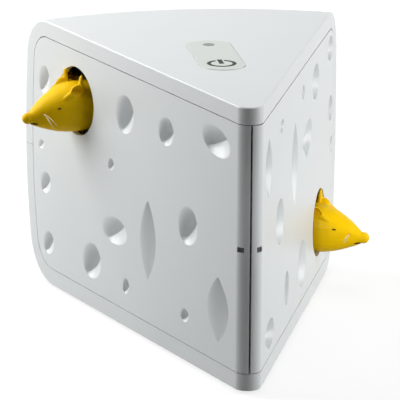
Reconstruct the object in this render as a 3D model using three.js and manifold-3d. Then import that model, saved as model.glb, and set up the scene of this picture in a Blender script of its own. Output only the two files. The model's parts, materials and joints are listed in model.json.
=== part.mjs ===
// Automatic cat toy shaped like a wedge of cheese, in millimetres, +Z up.
// The case is drawn from the sharp apex of the wedge: x runs across it, y from the apex to the rind,
// and z up from its underside. The finished model is moved so that its origin is the middle of the
// bottom of its bounding box, with the apex towards -Y.
import * as THREE from "three";
import { mergeVertices } from "three/addons/utils/BufferGeometryUtils.js";
import Module from "manifold-3d";

const wasm = await Module();
wasm.setup();

const RADIANS = Math.PI / 180;

// Driving dimensions of the case.
const caseHeight = 152;
const wedgeLength = 275;
const halfApexAngle = 19.33;
const apexRadius = 7.35;
const rindRadius = 220;
const rindWidestHeight = 82;
const rindTopRound = 25;
const rindBottomRound = 28;
const rindTopLean = 5;
const rindBottomLean = 11;
const shellWall = 2.5;
const splitHeight = 76.5;

// Driving dimensions of the side panels, which lie inside a band of the case.
const panelWall = 3;
const bandWidth = 9.2;
const panelGap = 0.5;
const frontSeam = 1;
const ledgeWidth = 3;
const ledgeThickness = 2;
const slot = { width: 4.4, height: 2.9, z: 76, turn: 45 };

// Clearances that pieces share.
const seatGap = 0.3;
const runningGap = 0.5;
const overrun = 1;

// Mouse holes: s runs along a side face from the apex, z up from the underside. The left one is
// halfway up the upper shell.
const mouseHole = { width: 43, height: 38.4 };
const leftHole = { s: 206.4, z: (splitHeight + caseHeight) / 2 };
const rightHole = { s: 211.5, z: 38.5 };

// A mouse swings on an upright shaft just behind the rear edge of its hole.
const pivot = { behindHole: 28, depth: 7.5 };
const leftRestSwing = 2;
const rightRestSwing = 8;
const head = {
  width: 29,
  reach: 40.5,
  back: 6,
  aside: 24.75,
  top: 10,
  bottom: 14.5,
  noseDrop: 7,
  noseRadius: 2.8,
  squareness: 2.3,
  sides: 16,
};
const ear = { across: 9, out: 9, tip: 15, width: 6.5, thickness: 3.4, sides: 10 };
const eye = { radius: 1.25, back: 18, z: -0.5, proud: 0.5, sides: 8 };
const hub = { radius: 4, below: 12, above: 9 };
const arm = { front: 3, back: 5, below: 9.5, above: 8 };

// Gears of the drives, and the shafts that carry them.
const gearModule = 1;
const pressureAngle = 20;
const gearBacklash = 0.2;
const gearAddendum = 0.8;
const gearDedendum = 1.1;
const gearWidth = 4;
const teeth = { sector: 20, idlerSmall: 12, idlerLarge: 24, pinion: 12 };
const sectorSpan = { from: 80, to: 196 };
const shaftRadius = 1.5;
const axleRadius = 1;
const gearHubRadius = 3.6;

// Drive deck between the two drives.
const deck = { thickness: 3, front: 196, rearInset: 14, sideGap: 0.6, boss: 4 };
const motor = { radius: 12, length: 28, bossRadius: 4, bossHeight: 1.2, shaftHole: 2.4 };
const bushing = { radius: 3, flangeRadius: 4, flange: 0.8, length: 4 };
const farBearing = { radius: 4, length: 10, shaftInto: 4 };

// Posts and screws that hold the case and the deck.
const post = { radius: 4.5, well: 2.8, shelf: 10, screwInto: 12 };
const casePosts = { frontY: 40, midX: 24, midY: 168 };
const deckPost = { radius: 3.5, pastFront: 7, fromRind: 30, fromSide: 16, screwInto: 9 };
const screw = { shank: 1.2, head: 2.4, headHeight: 1.8, sides: 8 };
const tongue = { x: 30, width: 12, drop: 4, thickness: 1.6 };

// Battery compartment for three C cells, open to the underside.
const cell = { radius: 13, length: 49, cap: 3, capHeight: 1.5, gap: 0.6, lift: 3.2 };
const bay = { centreX: -14, frontY: 176, wall: 1.6, springRoom: 3.6, sheet: 0.5 };
const bayDoor = { thickness: 2, gap: 0.4, lip: 7, lipThickness: 1, screwBoss: 6, screwHead: 1 };

// Control pad on the top, which moves as one button.
const pad = { halfWidth: 12, frontY: 99, rearY: 163, rearBow: 6.5, proud: 0.3, gap: 0.35 };
const padFlange = { width: 1.4, thickness: 1.4 };
const padTravel = 1;
const powerSwitchInset = 14.9;
const powerY = pad.frontY + powerSwitchInset;
const ledWindow = { inset: 4.1, radius: 3.3, flange: 1, thickness: 1 };
const ledY = pad.rearY - ledWindow.inset;
const board = { width: 28, past: 21, thickness: 1.6, below: 6, bossRadius: 3, inset: 5 };
const boardFrontY = pad.frontY - board.past;
const boardRearY = pad.rearY + pad.rearBow + board.past;
const tactSwitch = { side: 6, height: 2.3, stemRadius: 1.7, stemGap: 0.05 };
const led = { radius: 1.5, height: 2 };

const foot = { radius: 6, height: 1.5, recess: 0.8, frontY: 54, rearX: 64, rearY: 214 };

// Dimples: s and z of the middle, half width, half height and lean in degrees.
const dimpleDepth = 2;
const dimpleShares = { deepAxis: 1.6 };
const faceShare = (sPart, zPart, widthPart, heightPart, lean = 0) => ({
  s: sPart * wedgeLength,
  z: zPart * caseHeight,
  halfWidth: (widthPart * wedgeLength) / 2,
  halfHeight: (heightPart * caseHeight) / 2,
  lean,
});
const leftDimpleShares = [
  faceShare(0.898, 0.776, 0.051, 0.11),
  faceShare(0.912, 0.524, 0.028, 0.038),
  faceShare(0.537, 0.787, 0.08, 0.15, -14),
  faceShare(0.362, 0.795, 0.065, 0.105),
  faceShare(0.597, 0.579, 0.028, 0.047),
  faceShare(0.893, 0.386, 0.05, 0.085),
  faceShare(0.159, 0.847, 0.11, 0.125, 18),
  faceShare(0.581, 0.339, 0.11, 0.102),
  faceShare(0.437, 0.367, 0.065, 0.3),
  faceShare(0.271, 0.495, 0.08, 0.142),
  faceShare(0.681, 0.181, 0.08, 0.137),
  faceShare(0.88, 0.159, 0.05, 0.093),
  faceShare(0.531, 0.155, 0.029, 0.062),
  faceShare(0.281, 0.166, 0.037, 0.051),
  faceShare(0.147, 0.251, 0.083, 0.236),
];
const rightDimpleShares = [
  faceShare(0.888, 0.863, 0.055, 0.09),
  faceShare(0.702, 0.817, 0.085, 0.13),
  faceShare(0.546, 0.843, 0.03, 0.053),
  faceShare(0.902, 0.63, 0.05, 0.1),
  faceShare(0.918, 0.483, 0.032, 0.068),
  faceShare(0.29, 0.832, 0.045, 0.049),
  faceShare(0.45, 0.624, 0.075, 0.303),
  faceShare(0.14, 0.748, 0.075, 0.208),
  faceShare(0.599, 0.645, 0.1, 0.124, 16),
  faceShare(0.276, 0.494, 0.09, 0.166),
  faceShare(0.53, 0.2, 0.09, 0.178),
  faceShare(0.367, 0.207, 0.045, 0.124),
  faceShare(0.15, 0.145, 0.1, 0.107),
];

// Finishes.
const finish = (color, roughness, metalness = 0) =>
  new THREE.MeshStandardMaterial({ color, roughness, metalness, flatShading: true });
const whitePlastic = finish(0xe4e6e6, 0.3);
const greyPlastic = finish(0xd6dad4, 0.4);
const yellowPlastic = finish(0xf4c400, 0.4);
const blackPlastic = finish(0x1c1c1e, 0.5);
const ivoryPlastic = finish(0xe8e2cf, 0.5);
const steel = finish(0xb8bcc0, 0.3, 1);
const bronze = finish(0xa8793c, 0.4, 1);
const boardGreen = finish(0x1f5a38, 0.5);
const cellWrap = finish(0x44484c, 0.4, 0.3);
const rubber = finish(0x2a2a2b, 0.8);
const clearPlastic = finish(0xdfe8e4, 0.15);

// Solids.

// A closed geometry as a solid. Collapsed triangles at the poles of a turned shape are left out.
function solidOf(geometry) {
  const bare = new THREE.BufferGeometry();
  bare.setAttribute("position", geometry.getAttribute("position").clone());
  if (geometry.index) bare.setIndex(geometry.index.clone());
  const merged = mergeVertices(bare);
  const kept = [];
  for (let i = 0; i < merged.index.count; i += 3) {
    const [a, b, c] = [0, 1, 2].map((k) => merged.index.getX(i + k));
    if (a !== b && b !== c && c !== a) kept.push(a, b, c);
  }
  return new wasm.Manifold(
    new wasm.Mesh({
      numProp: 3,
      vertProperties: merged.getAttribute("position").array,
      triVerts: new Uint32Array(kept),
    }),
  );
}

function geometryOf(solid) {
  const made = solid.getMesh();
  const geometry = new THREE.BufferGeometry();
  geometry.setAttribute("position", new THREE.BufferAttribute(made.vertProperties, 3));
  geometry.setIndex(new THREE.BufferAttribute(made.triVerts, 1));
  geometry.computeVertexNormals();
  return geometry;
}

const joined = (...solids) => solids.reduce((all, one) => all.add(one));
const cut = (body, ...tools) => tools.reduce((left, tool) => left.subtract(tool), body);

function slab(x0, x1, y0, y1, z0, z1) {
  const box = new THREE.BoxGeometry(x1 - x0, y1 - y0, z1 - z0);
  return solidOf(box.translate((x0 + x1) / 2, (y0 + y1) / 2, (z0 + z1) / 2));
}

function rod(radius, z0, z1, x = 0, y = 0, sides = 12) {
  const bar = new THREE.CylinderGeometry(radius, radius, z1 - z0, sides).rotateX(Math.PI / 2);
  return solidOf(bar.translate(x, y, (z0 + z1) / 2));
}

// A profile of [radius, z] points turned round the z axis.
function turned(profile, sides) {
  const points = profile.map(([radius, z]) => new THREE.Vector2(radius, z));
  return solidOf(new THREE.LatheGeometry(points, sides).rotateX(Math.PI / 2));
}

function prism(points, z0, z1) {
  const outline = new THREE.Shape(points.map(([x, y]) => new THREE.Vector2(x, y)));
  const plate = new THREE.ExtrudeGeometry(outline, { depth: z1 - z0, bevelEnabled: false });
  return solidOf(plate.translate(0, 0, z0));
}

// Turned over in x, in z, or in both, where x or z is -1, for the other side or the other drive.
function mirrored(solid, x, z) {
  return solid.transform(new THREE.Matrix4().makeScale(x, 1, z).toArray());
}

// The case.

const side = halfApexAngle * RADIANS;
const rindCentreY = wedgeLength - rindRadius;
const apexCentreY = apexRadius / Math.sin(side);
const farY = wedgeLength + rindRadius;

// Plan of the wedge, moved in from its side faces by inset, as an upright bar.
function wedge(inset, z0, z1) {
  const tip = inset / Math.sin(side);
  const wide = (farY - tip) * Math.tan(side);
  const round = apexRadius - inset;
  const steps = 8;
  const points = [
    [wide, farY],
    [-wide, farY],
  ];
  if (round > 0) {
    for (let i = 0; i <= steps; i += 1) {
      const angle = Math.PI + side + ((Math.PI - 2 * side) * i) / steps;
      points.push([round * Math.cos(angle), apexCentreY + round * Math.sin(angle)]);
    }
  } else {
    points.push([0, tip]);
  }
  return prism(points, z0, z1);
}

// One rounded edge of the rind's profile: the middle of its round and the place where its side starts.
function rindEdge(inset, round, lean, fromWidest) {
  const turn = lean * RADIANS;
  const rise = fromWidest - round * (1 - Math.sin(turn));
  const middle = rindRadius - (Math.tan(turn) * rise) / 2 - round * Math.cos(turn);
  const inner = round - inset;
  return { middle, inner, turn, sideRadius: middle + inner * Math.cos(turn) };
}

// Solid of revolution that the rind belongs to, moved in from its surface by inset.
function rindBody(inset) {
  const roundSteps = 5;
  const sideSteps = 2;
  const low = rindEdge(inset, rindBottomRound, rindBottomLean, rindWidestHeight);
  const high = rindEdge(inset, rindTopRound, rindTopLean, caseHeight - rindWidestHeight);
  const widest = rindRadius - inset;
  const profile = [[0, inset]];
  for (let i = 0; i <= roundSteps; i += 1) {
    const angle = -Math.PI / 2 + ((Math.PI / 2 - low.turn) * i) / roundSteps;
    profile.push([
      low.middle + low.inner * Math.cos(angle),
      rindBottomRound + low.inner * Math.sin(angle),
    ]);
  }
  const [, lowZ] = profile.at(-1);
  const highZ = caseHeight - rindTopRound + high.inner * Math.sin(high.turn);
  for (let i = 1; i <= sideSteps; i += 1) {
    const left = 1 - i / sideSteps;
    profile.push([
      widest - (widest - low.sideRadius) * left * left,
      rindWidestHeight - (rindWidestHeight - lowZ) * left,
    ]);
  }
  for (let i = 1; i < sideSteps; i += 1) {
    const part = i / sideSteps;
    profile.push([
      widest - (widest - high.sideRadius) * part * part,
      rindWidestHeight + (highZ - rindWidestHeight) * part,
    ]);
  }
  for (let i = 0; i <= roundSteps; i += 1) {
    const angle = high.turn + ((Math.PI / 2 - high.turn) * i) / roundSteps;
    profile.push([
      high.middle + high.inner * Math.cos(angle),
      caseHeight - rindTopRound + high.inner * Math.sin(angle),
    ]);
  }
  profile.push([0, caseHeight - inset]);
  return turned(profile, 80).translate(0, rindCentreY, 0);
}

// Everything between two insets from the side faces, through the whole height.
function sideLayer(outer, inner) {
  const z0 = -overrun;
  const z1 = caseHeight + overrun;
  return cut(wedge(outer, z0, z1), wedge(inner, z0 - overrun, z1 + overrun));
}

const insideOf = (inset) => wedge(inset, inset, caseHeight - inset).intersect(rindBody(inset));

const outerBody = insideOf(0);
const cavity = insideOf(shellWall);
const hollowCase = cut(outerBody, cavity);
const panelSpace = sideLayer(-overrun, panelWall + seatGap).intersect(rindBody(bandWidth));
const ledges = cut(
  sideLayer(panelWall + seatGap, panelWall + seatGap + ledgeThickness).intersect(
    rindBody(shellWall - overrun),
  ),
  rindBody(bandWidth + ledgeWidth),
);

// Places on a side face: hand is 1 on the right and -1 on the left, s runs from the apex,
// and out is the distance outward from the face.
function facePoint(hand, s, out) {
  return [
    hand * (s * Math.sin(side) + out * Math.cos(side)),
    s * Math.cos(side) - out * Math.sin(side),
  ];
}

// A solid drawn with x outward and y rearward is set on a side face, mirrored on the left.
function onFace(solid, hand, s, out, z) {
  const [x, y] = facePoint(hand, s, out);
  return mirrored(solid, hand, 1).rotate(0, 0, -hand * halfApexAngle).translate(x, y, z);
}

// Mechanism places.

const sides = [
  {
    name: "left",
    hand: -1,
    up: 1,
    hole: leftHole,
    rest: leftRestSwing,
    dimples: leftDimpleShares,
  },
  {
    name: "right",
    hand: 1,
    up: -1,
    hole: rightHole,
    rest: rightRestSwing,
    dimples: rightDimpleShares,
  },
];
for (const one of sides) {
  one.pivotS = one.hole.s + pivot.behindHole;
  [one.x, one.y] = facePoint(one.hand, one.pivotS, -pivot.depth);
}

const pitchRadius = (count) => (count * gearModule) / 2;
const sectorToIdler = pitchRadius(teeth.sector) + pitchRadius(teeth.idlerSmall);
const idlerToPinion = pitchRadius(teeth.idlerLarge) + pitchRadius(teeth.pinion);

// Heights of a drive, measured from the middle of the deck towards the drive's mouse.
const deckFace = deck.thickness / 2;
const sectorFrom = deckFace + deck.boss + seatGap + bushing.flange;
const sectorTo = sectorFrom + gearWidth;
const largeFrom = sectorTo + runningGap;
const largeTo = largeFrom + gearWidth - runningGap;
const deckZ = splitHeight + runningGap;

// Case posts: [x, y] in plan.
const casePostPlaces = [
  [0, casePosts.frontY],
  [-casePosts.midX, casePosts.midY],
  [casePosts.midX, casePosts.midY],
];
const deckPostRearY = wedgeLength - deckPost.fromRind;
const deckPostRearX = deckPostRearY * Math.tan(side) - deckPost.fromSide;
const deckPostPlaces = [
  [0, deck.front + deckPost.pastFront],
  [-deckPostRearX, deckPostRearY],
  [deckPostRearX, deckPostRearY],
];
const footPlaces = [
  [0, foot.frontY],
  [-foot.rearX, foot.rearY],
  [foot.rearX, foot.rearY],
];
const places = ["front", "left", "right"];

// Battery bay, worked out from the cells.
const cellPitch = 2 * cell.radius + cell.gap;
const bayHalf = 1.5 * cellPitch;
const bayInner = {
  x0: bay.centreX - bayHalf,
  x1: bay.centreX + bayHalf,
  y0: bay.frontY + bay.wall,
  y1: bay.frontY + bay.wall + bay.sheet + seatGap + cell.length + cell.capHeight + bay.springRoom,
  top: cell.lift + 2 * cell.radius + cell.gap,
};

function padOutline(grow) {
  const steps = 8;
  const half = pad.halfWidth + grow;
  const points = [];
  for (let i = 0; i <= steps; i += 1) {
    const angle = Math.PI + (Math.PI * i) / steps;
    points.push([
      half * Math.cos(angle),
      pad.frontY + pad.halfWidth + half * Math.sin(angle),
    ]);
  }
  const bowRadius = (pad.halfWidth ** 2 + pad.rearBow ** 2) / (2 * pad.rearBow);
  const bowCentre = pad.rearY + pad.rearBow - bowRadius;
  const outerRadius = bowRadius + grow;
  const spread = Math.asin(Math.min(1, half / outerRadius));
  for (let i = 0; i <= steps; i += 1) {
    const angle = Math.PI / 2 - spread + (2 * spread * i) / steps;
    points.push([outerRadius * Math.cos(angle), bowCentre + outerRadius * Math.sin(angle)]);
  }
  return points;
}

const topInside = caseHeight - shellWall;
const boardTop = topInside - board.below;
const boardBottom = boardTop - board.thickness;
const boardScrewPlaces = [
  [0, boardFrontY + board.inset],
  [0, boardRearY - board.inset],
];

function upperShell() {
  const bosses = [];
  const bores = [];
  const postBottom = splitHeight + seatGap / 2;
  for (const [x, y] of casePostPlaces) {
    bosses.push(rod(post.radius, postBottom, caseHeight - overrun, x, y));
    bores.push(
      rod(screw.shank + seatGap, postBottom - overrun, splitHeight + post.screwInto + overrun, x, y),
    );
  }
  for (const [x, y] of boardScrewPlaces) {
    bosses.push(rod(board.bossRadius, boardTop + seatGap, caseHeight - overrun, x, y));
    bores.push(rod(screw.shank + seatGap, boardTop - overrun, topInside, x, y));
  }
  for (const one of sides.filter((each) => each.up > 0)) {
    const bottom = one.hole.z + mouseHole.height / 2 + 1.5 * runningGap;
    bosses.push(rod(farBearing.radius, bottom, caseHeight - overrun, one.x, one.y));
    bores.push(
      rod(bushing.flangeRadius + seatGap, bottom - bushing.flange - 2 * seatGap, bottom, one.x, one.y),
      rod(bushing.radius + seatGap, bottom - overrun, bottom + bushing.length + seatGap, one.x, one.y),
      rod(shaftRadius + seatGap, bottom, bottom + farBearing.length, one.x, one.y),
    );
  }
  const tongues = [-1, 1].map((hand) => {
    const x0 = hand * tongue.x - tongue.width / 2;
    const bar = slab(
      x0,
      x0 + tongue.width,
      rindCentreY,
      farY,
      splitHeight - tongue.drop,
      splitHeight + tongue.drop,
    );
    const layer = cut(
      rindBody(shellWall + seatGap),
      rindBody(shellWall + seatGap + tongue.thickness),
    );
    const root = cut(rindBody(shellWall - overrun), rindBody(shellWall + seatGap + tongue.thickness));
    const above = slab(x0, x0 + tongue.width, rindCentreY, farY, postBottom, splitHeight + tongue.drop);
    return joined(bar.intersect(layer), above.intersect(root));
  });
  const high = slab(-farY, farY, 0, farY, postBottom, caseHeight + overrun);
  const walls = joined(cut(hollowCase, panelSpace), ledges.intersect(outerBody), ...bosses);
  return cut(
    joined(walls.intersect(high).intersect(outerBody), ...tongues),
    prism(padOutline(pad.gap), topInside - overrun, caseHeight + overrun),
    ...bores,
  );
}

function lowerShell() {
  const bosses = [];
  const bores = [];
  const postTop = splitHeight - seatGap / 2;
  const shelf = splitHeight - post.shelf;
  for (const [x, y] of casePostPlaces) {
    bosses.push(rod(post.radius, overrun, postTop, x, y));
    bores.push(rod(post.well, -overrun, shelf, x, y));
    bores.push(rod(screw.shank + seatGap, shelf - overrun, postTop + overrun, x, y));
  }
  const deckSeat = deckZ - deckFace - seatGap;
  for (const [x, y] of deckPostPlaces) {
    bosses.push(rod(deckPost.radius, overrun, deckSeat, x, y));
    bores.push(rod(screw.shank + seatGap, deckSeat - deckPost.screwInto, deckSeat + overrun, x, y));
  }
  for (const one of sides.filter((each) => each.up < 0)) {
    const top = one.hole.z - mouseHole.height / 2 - 1.5 * runningGap;
    bosses.push(rod(farBearing.radius, overrun, top, one.x, one.y));
    bores.push(
      rod(bushing.flangeRadius + seatGap, top, top + bushing.flange + 2 * seatGap, one.x, one.y),
      rod(bushing.radius + seatGap, top - bushing.length - seatGap, top + overrun, one.x, one.y),
      rod(shaftRadius + seatGap, top - farBearing.length, top, one.x, one.y),
    );
  }
  const { x0, x1, y0, y1, top } = bayInner;
  bosses.push(slab(x0 - bay.wall, x1 + bay.wall, y0 - bay.wall, y1 + bay.wall, overrun, top + bay.wall));
  const bayHollow = slab(x0, x1, y0, y1, -overrun, top);
  const lipX = bay.centreX;
  const lipY = bay.frontY - bayDoor.lip / 2;
  bosses.push(rod(deckPost.radius, overrun, bayDoor.screwBoss + shellWall, lipX, lipY));
  const lipRecess = slab(
    lipX - bayDoor.lip - bayDoor.gap,
    lipX + bayDoor.lip + bayDoor.gap,
    bay.frontY - bayDoor.lip - bayDoor.gap,
    y0 + overrun,
    -overrun,
    bayDoor.lipThickness + seatGap,
  );
  bores.push(rod(screw.shank + seatGap, -overrun, bayDoor.screwBoss, lipX, lipY));
  for (const [x, y] of footPlaces) {
    bores.push(rod(foot.radius + seatGap, -overrun, foot.recess, x, y, 20));
  }
  const low = slab(-farY, farY, 0, farY, -overrun, postTop);
  const walls = joined(cut(hollowCase, panelSpace), ledges.intersect(outerBody), ...bosses);
  return cut(walls.intersect(low).intersect(outerBody), bayHollow, lipRecess, ...bores);
}

// A side panel with its dimples, its mouse hole and the release slot near the apex.
function sidePanel({ hand, hole, dimples }) {
  const layer = sideLayer(0, panelWall).intersect(rindBody(bandWidth + panelGap));
  const half = slab(frontSeam / 2, farY, 0, farY, 0, caseHeight);
  let body = layer.intersect(mirrored(half, hand, 1));
  const depthRadius = dimpleDepth * dimpleShares.deepAxis;
  for (const one of dimples) {
    const ball = solidOf(new THREE.SphereGeometry(1, 12, 8));
    const grow = 1 / Math.sqrt(1 - (1 - 1 / dimpleShares.deepAxis) ** 2);
    const scoop = ball
      .scale([depthRadius, one.halfWidth * grow, one.halfHeight * grow])
      .rotate(one.lean, 0, 0);
    body = cut(body, onFace(scoop, hand, one.s, depthRadius - dimpleDepth, one.z));
  }
  const bore = rod(1, -panelWall - overrun, panelWall + overrun, 0, 0, 28)
    .scale([mouseHole.height / 2, mouseHole.width / 2, 1])
    .rotate(0, 90, 0);
  body = cut(body, onFace(bore, hand, hole.s, 0, hole.z));
  const window = slab(
    -slot.width / 2,
    slot.width / 2,
    -apexRadius - overrun,
    overrun - apexRadius + panelWall,
    slot.z - slot.height / 2,
    slot.z + slot.height / 2,
  );
  return cut(body, window.rotate(0, 0, hand * slot.turn).translate(0, apexCentreY, 0));
}

// The mouse head, drawn with x outward from the pivot and y rearward, its heights from the hole's middle.
const tipRadius = head.noseRadius;
const headStationShares = [
  { along: 0, width: 1, top: 1, bottom: 1 },
  { along: 0.22, width: 0.985, top: 1, bottom: 1 },
  { along: 0.42, width: 0.92, top: 0.97, bottom: 0.98 },
  { along: 0.6, width: 0.76, top: 0.62, bottom: 0.93 },
  { along: 0.76, width: 0.54, top: 0.16, bottom: 0.83 },
  { along: 0.88, width: 0.34, top: -0.22, bottom: 0.72 },
  { along: 0.94, width: 0.24, top: -0.36, bottom: 0.68 },
];

function headOutline() {
  const length = head.reach + head.back - tipRadius;
  const rings = headStationShares.map(({ along, width, top, bottom }) => ({
    x: -head.back + along * length,
    half: (width * head.width) / 2,
    top: top * head.top,
    bottom: -bottom * head.bottom,
  }));
  return rings;
}

function ringPoint({ x, half, top, bottom }, turn) {
  const power = 2 / head.squareness;
  const across = Math.sign(Math.cos(turn)) * Math.abs(Math.cos(turn)) ** power;
  const upward = Math.sign(Math.sin(turn)) * Math.abs(Math.sin(turn)) ** power;
  return [x, -head.aside + half * across, (top + bottom) / 2 + ((top - bottom) / 2) * upward];
}

function loft(rings) {
  const positions = [];
  const faces = [];
  const sideCount = head.sides;
  for (const ring of rings) {
    for (let i = 0; i < sideCount; i += 1) {
      positions.push(...ringPoint(ring, (2 * Math.PI * i) / sideCount));
    }
  }
  const last = rings.at(-1);
  positions.push(rings[0].x, -head.aside, (rings[0].top + rings[0].bottom) / 2);
  positions.push(last.x, -head.aside, (last.top + last.bottom) / 2);
  const backCentre = rings.length * sideCount;
  const frontCentre = backCentre + 1;
  for (let i = 0; i < sideCount; i += 1) {
    const next = (i + 1) % sideCount;
    for (let ring = 0; ring + 1 < rings.length; ring += 1) {
      const a = ring * sideCount + i;
      const b = ring * sideCount + next;
      faces.push(a, b, a + sideCount, b, b + sideCount, a + sideCount);
    }
    const start = (rings.length - 1) * sideCount;
    faces.push(backCentre, next, i, frontCentre, start + i, start + next);
  }
  const geometry = new THREE.BufferGeometry();
  geometry.setAttribute("position", new THREE.Float32BufferAttribute(positions, 3));
  geometry.setIndex(faces);
  return solidOf(geometry);
}

// The eyes stand a little proud of the flanks of the head.
function eyePlaces() {
  const x = head.reach - eye.back;
  const rings = headOutline();
  const after = rings.findIndex((ring) => ring.x > x);
  const [low, high] = [rings[after - 1], rings[after]];
  const part = (x - low.x) / (high.x - low.x);
  const at = (key) => low[key] + (high[key] - low[key]) * part;
  const rise = Math.abs(eye.z - (at("top") + at("bottom")) / 2) / ((at("top") - at("bottom")) / 2);
  const half = at("half") * (1 - rise ** head.squareness) ** (1 / head.squareness);
  return [-1, 1].map((hand) => [x, -head.aside + hand * (half + eye.proud - eye.radius), eye.z]);
}

function mouseHead() {
  const skull = loft(headOutline());
  const nose = solidOf(new THREE.SphereGeometry(head.noseRadius, 10, 6));
  const ears = [-1, 1].map((across) => {
    const lobe = solidOf(new THREE.SphereGeometry(1, ear.sides, 6));
    const tall = ear.tip - head.top / 2;
    return lobe
      .scale([ear.thickness / 2, ear.width / 2, tall])
      .rotate(across * 8, -10, 0)
      .translate(ear.out, -head.aside + across * ear.across, head.top / 2);
  });
  const tube = rod(hub.radius, -hub.below, hub.above);
  const bar = slab(-arm.back, arm.front, -head.aside, 0, -arm.below, arm.above);
  const bore = rod(shaftRadius + seatGap, -hub.below - overrun, hub.above + overrun, 0, 0);
  const sockets = eyePlaces().map(([x, y, z]) =>
    solidOf(new THREE.SphereGeometry(eye.radius + seatGap, eye.sides, 6)).translate(x, y, z),
  );
  return cut(
    joined(skull, nose.translate(head.reach - head.noseRadius, -head.aside, -head.noseDrop), ...ears, tube, bar),
    bore,
    ...sockets,
  );
}

// Gears.

const involute = (angle) => Math.tan(angle) - angle;

// Half the angle that a tooth fills at a radius.
function toothHalf(count, radius) {
  const pitch = pitchRadius(count);
  const base = pitch * Math.cos(pressureAngle * RADIANS);
  const atPitch = Math.PI / (2 * count) - gearBacklash / (2 * pitch);
  const here = Math.acos(Math.min(1, base / radius));
  return atPitch + involute(pressureAngle * RADIANS) - involute(here);
}

// A spur gear whose first tooth points along the angle phase.
function gear(count, phase, z0, z1) {
  const pitch = pitchRadius(count);
  const base = pitch * Math.cos(pressureAngle * RADIANS);
  const root = pitch - gearDedendum * gearModule;
  const tip = pitch + gearAddendum * gearModule;
  const start = Math.max(base, root);
  const radii = [(start + tip) / 2, tip];
  const points = [];
  for (let i = 0; i < count; i += 1) {
    const middle = phase + (2 * Math.PI * i) / count;
    const at = (radius, half) => {
      points.push([radius * Math.cos(middle + half), radius * Math.sin(middle + half)]);
    };
    at(root, -toothHalf(count, start));
    radii.forEach((radius) => at(radius, -toothHalf(count, radius)));
    [...radii].reverse().forEach((radius) => at(radius, toothHalf(count, radius)));
    at(root, toothHalf(count, start));
  }
  return prism(points, z0, z1);
}

// The part of a full circle between two angles from the outward direction towards the apex.
function pie(radius, fromDegrees, toDegrees, z0, z1) {
  const steps = 8;
  const points = [[0, 0]];
  for (let i = steps; i >= 0; i -= 1) {
    const angle = -(fromDegrees + ((toDegrees - fromDegrees) * i) / steps) * RADIANS;
    points.push([radius * Math.cos(angle), radius * Math.sin(angle)]);
  }
  return prism(points, z0, z1);
}

// Tooth phases in the drive's own frame, x outward and y rearward: the gears lie in a row inward.
// A sector tooth that stands at an angle of offset past the contact turns its neighbour to match.
const inward = Math.PI;
const sectorPitchAngle = (2 * Math.PI) / teeth.sector;
function drivePhases(restDegrees) {
  const sectorPhase = inward + sectorPitchAngle / 4 - restDegrees * RADIANS;
  const offset = sectorPhase - inward;
  const idlerPhase =
    Math.PI / teeth.idlerSmall - (offset * teeth.sector) / teeth.idlerSmall;
  const largeOffset = idlerPhase - inward;
  const pinionPhase =
    Math.PI / teeth.pinion - (largeOffset * teeth.idlerLarge) / teeth.pinion;
  return { sectorPhase, idlerPhase, pinionPhase };
}

function sectorGear(phase, restDegrees) {
  const reach = pitchRadius(teeth.sector) + gearModule;
  const whole = gear(teeth.sector, phase, sectorFrom, sectorTo);
  const from = sectorSpan.from + restDegrees;
  const slice = pie(2 * reach, from, sectorSpan.to + restDegrees, sectorFrom, sectorTo);
  const ring = rod(hub.radius, sectorFrom, sectorTo);
  return cut(
    joined(whole.intersect(slice), ring),
    rod(shaftRadius + seatGap, sectorFrom - overrun, sectorTo + overrun),
  );
}

function idlerGear(phase) {
  return cut(
    joined(
      gear(teeth.idlerSmall, phase, sectorFrom, largeFrom),
      gear(teeth.idlerLarge, phase, largeFrom, largeTo),
      rod(gearHubRadius, deckFace + seatGap, sectorFrom),
    ),
    rod(axleRadius + seatGap, 0, largeTo + overrun),
  );
}

function pinionGear(phase) {
  return joined(
    gear(teeth.pinion, phase, largeFrom, largeTo),
    rod(gearHubRadius, largeFrom - runningGap, largeTo),
    rod(axleRadius, -deckFace, largeFrom),
  );
}

const shaftFrom = -deckFace;
const idlerAxleTo = largeTo + runningGap;

function motorBody() {
  const face = -deckFace - seatGap;
  const canTop = face - motor.bossHeight;
  return cut(
    joined(
      rod(motor.radius, canTop - motor.length, canTop, 0, 0, 20),
      rod(motor.bossRadius, canTop - overrun, face),
    ),
    rod(axleRadius + seatGap, canTop - overrun, face + overrun),
  );
}

// A plain bearing with a flange, its flange towards z1.
function bearing(z0, z1) {
  return turned(
    [
      [shaftRadius + seatGap / 2, z0],
      [bushing.radius, z0],
      [bushing.radius, z1 - bushing.flange],
      [bushing.flangeRadius, z1 - bushing.flange],
      [bushing.flangeRadius, z1],
      [shaftRadius + seatGap / 2, z1],
      [shaftRadius + seatGap / 2, z0],
    ],
    12,
  );
}

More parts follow.
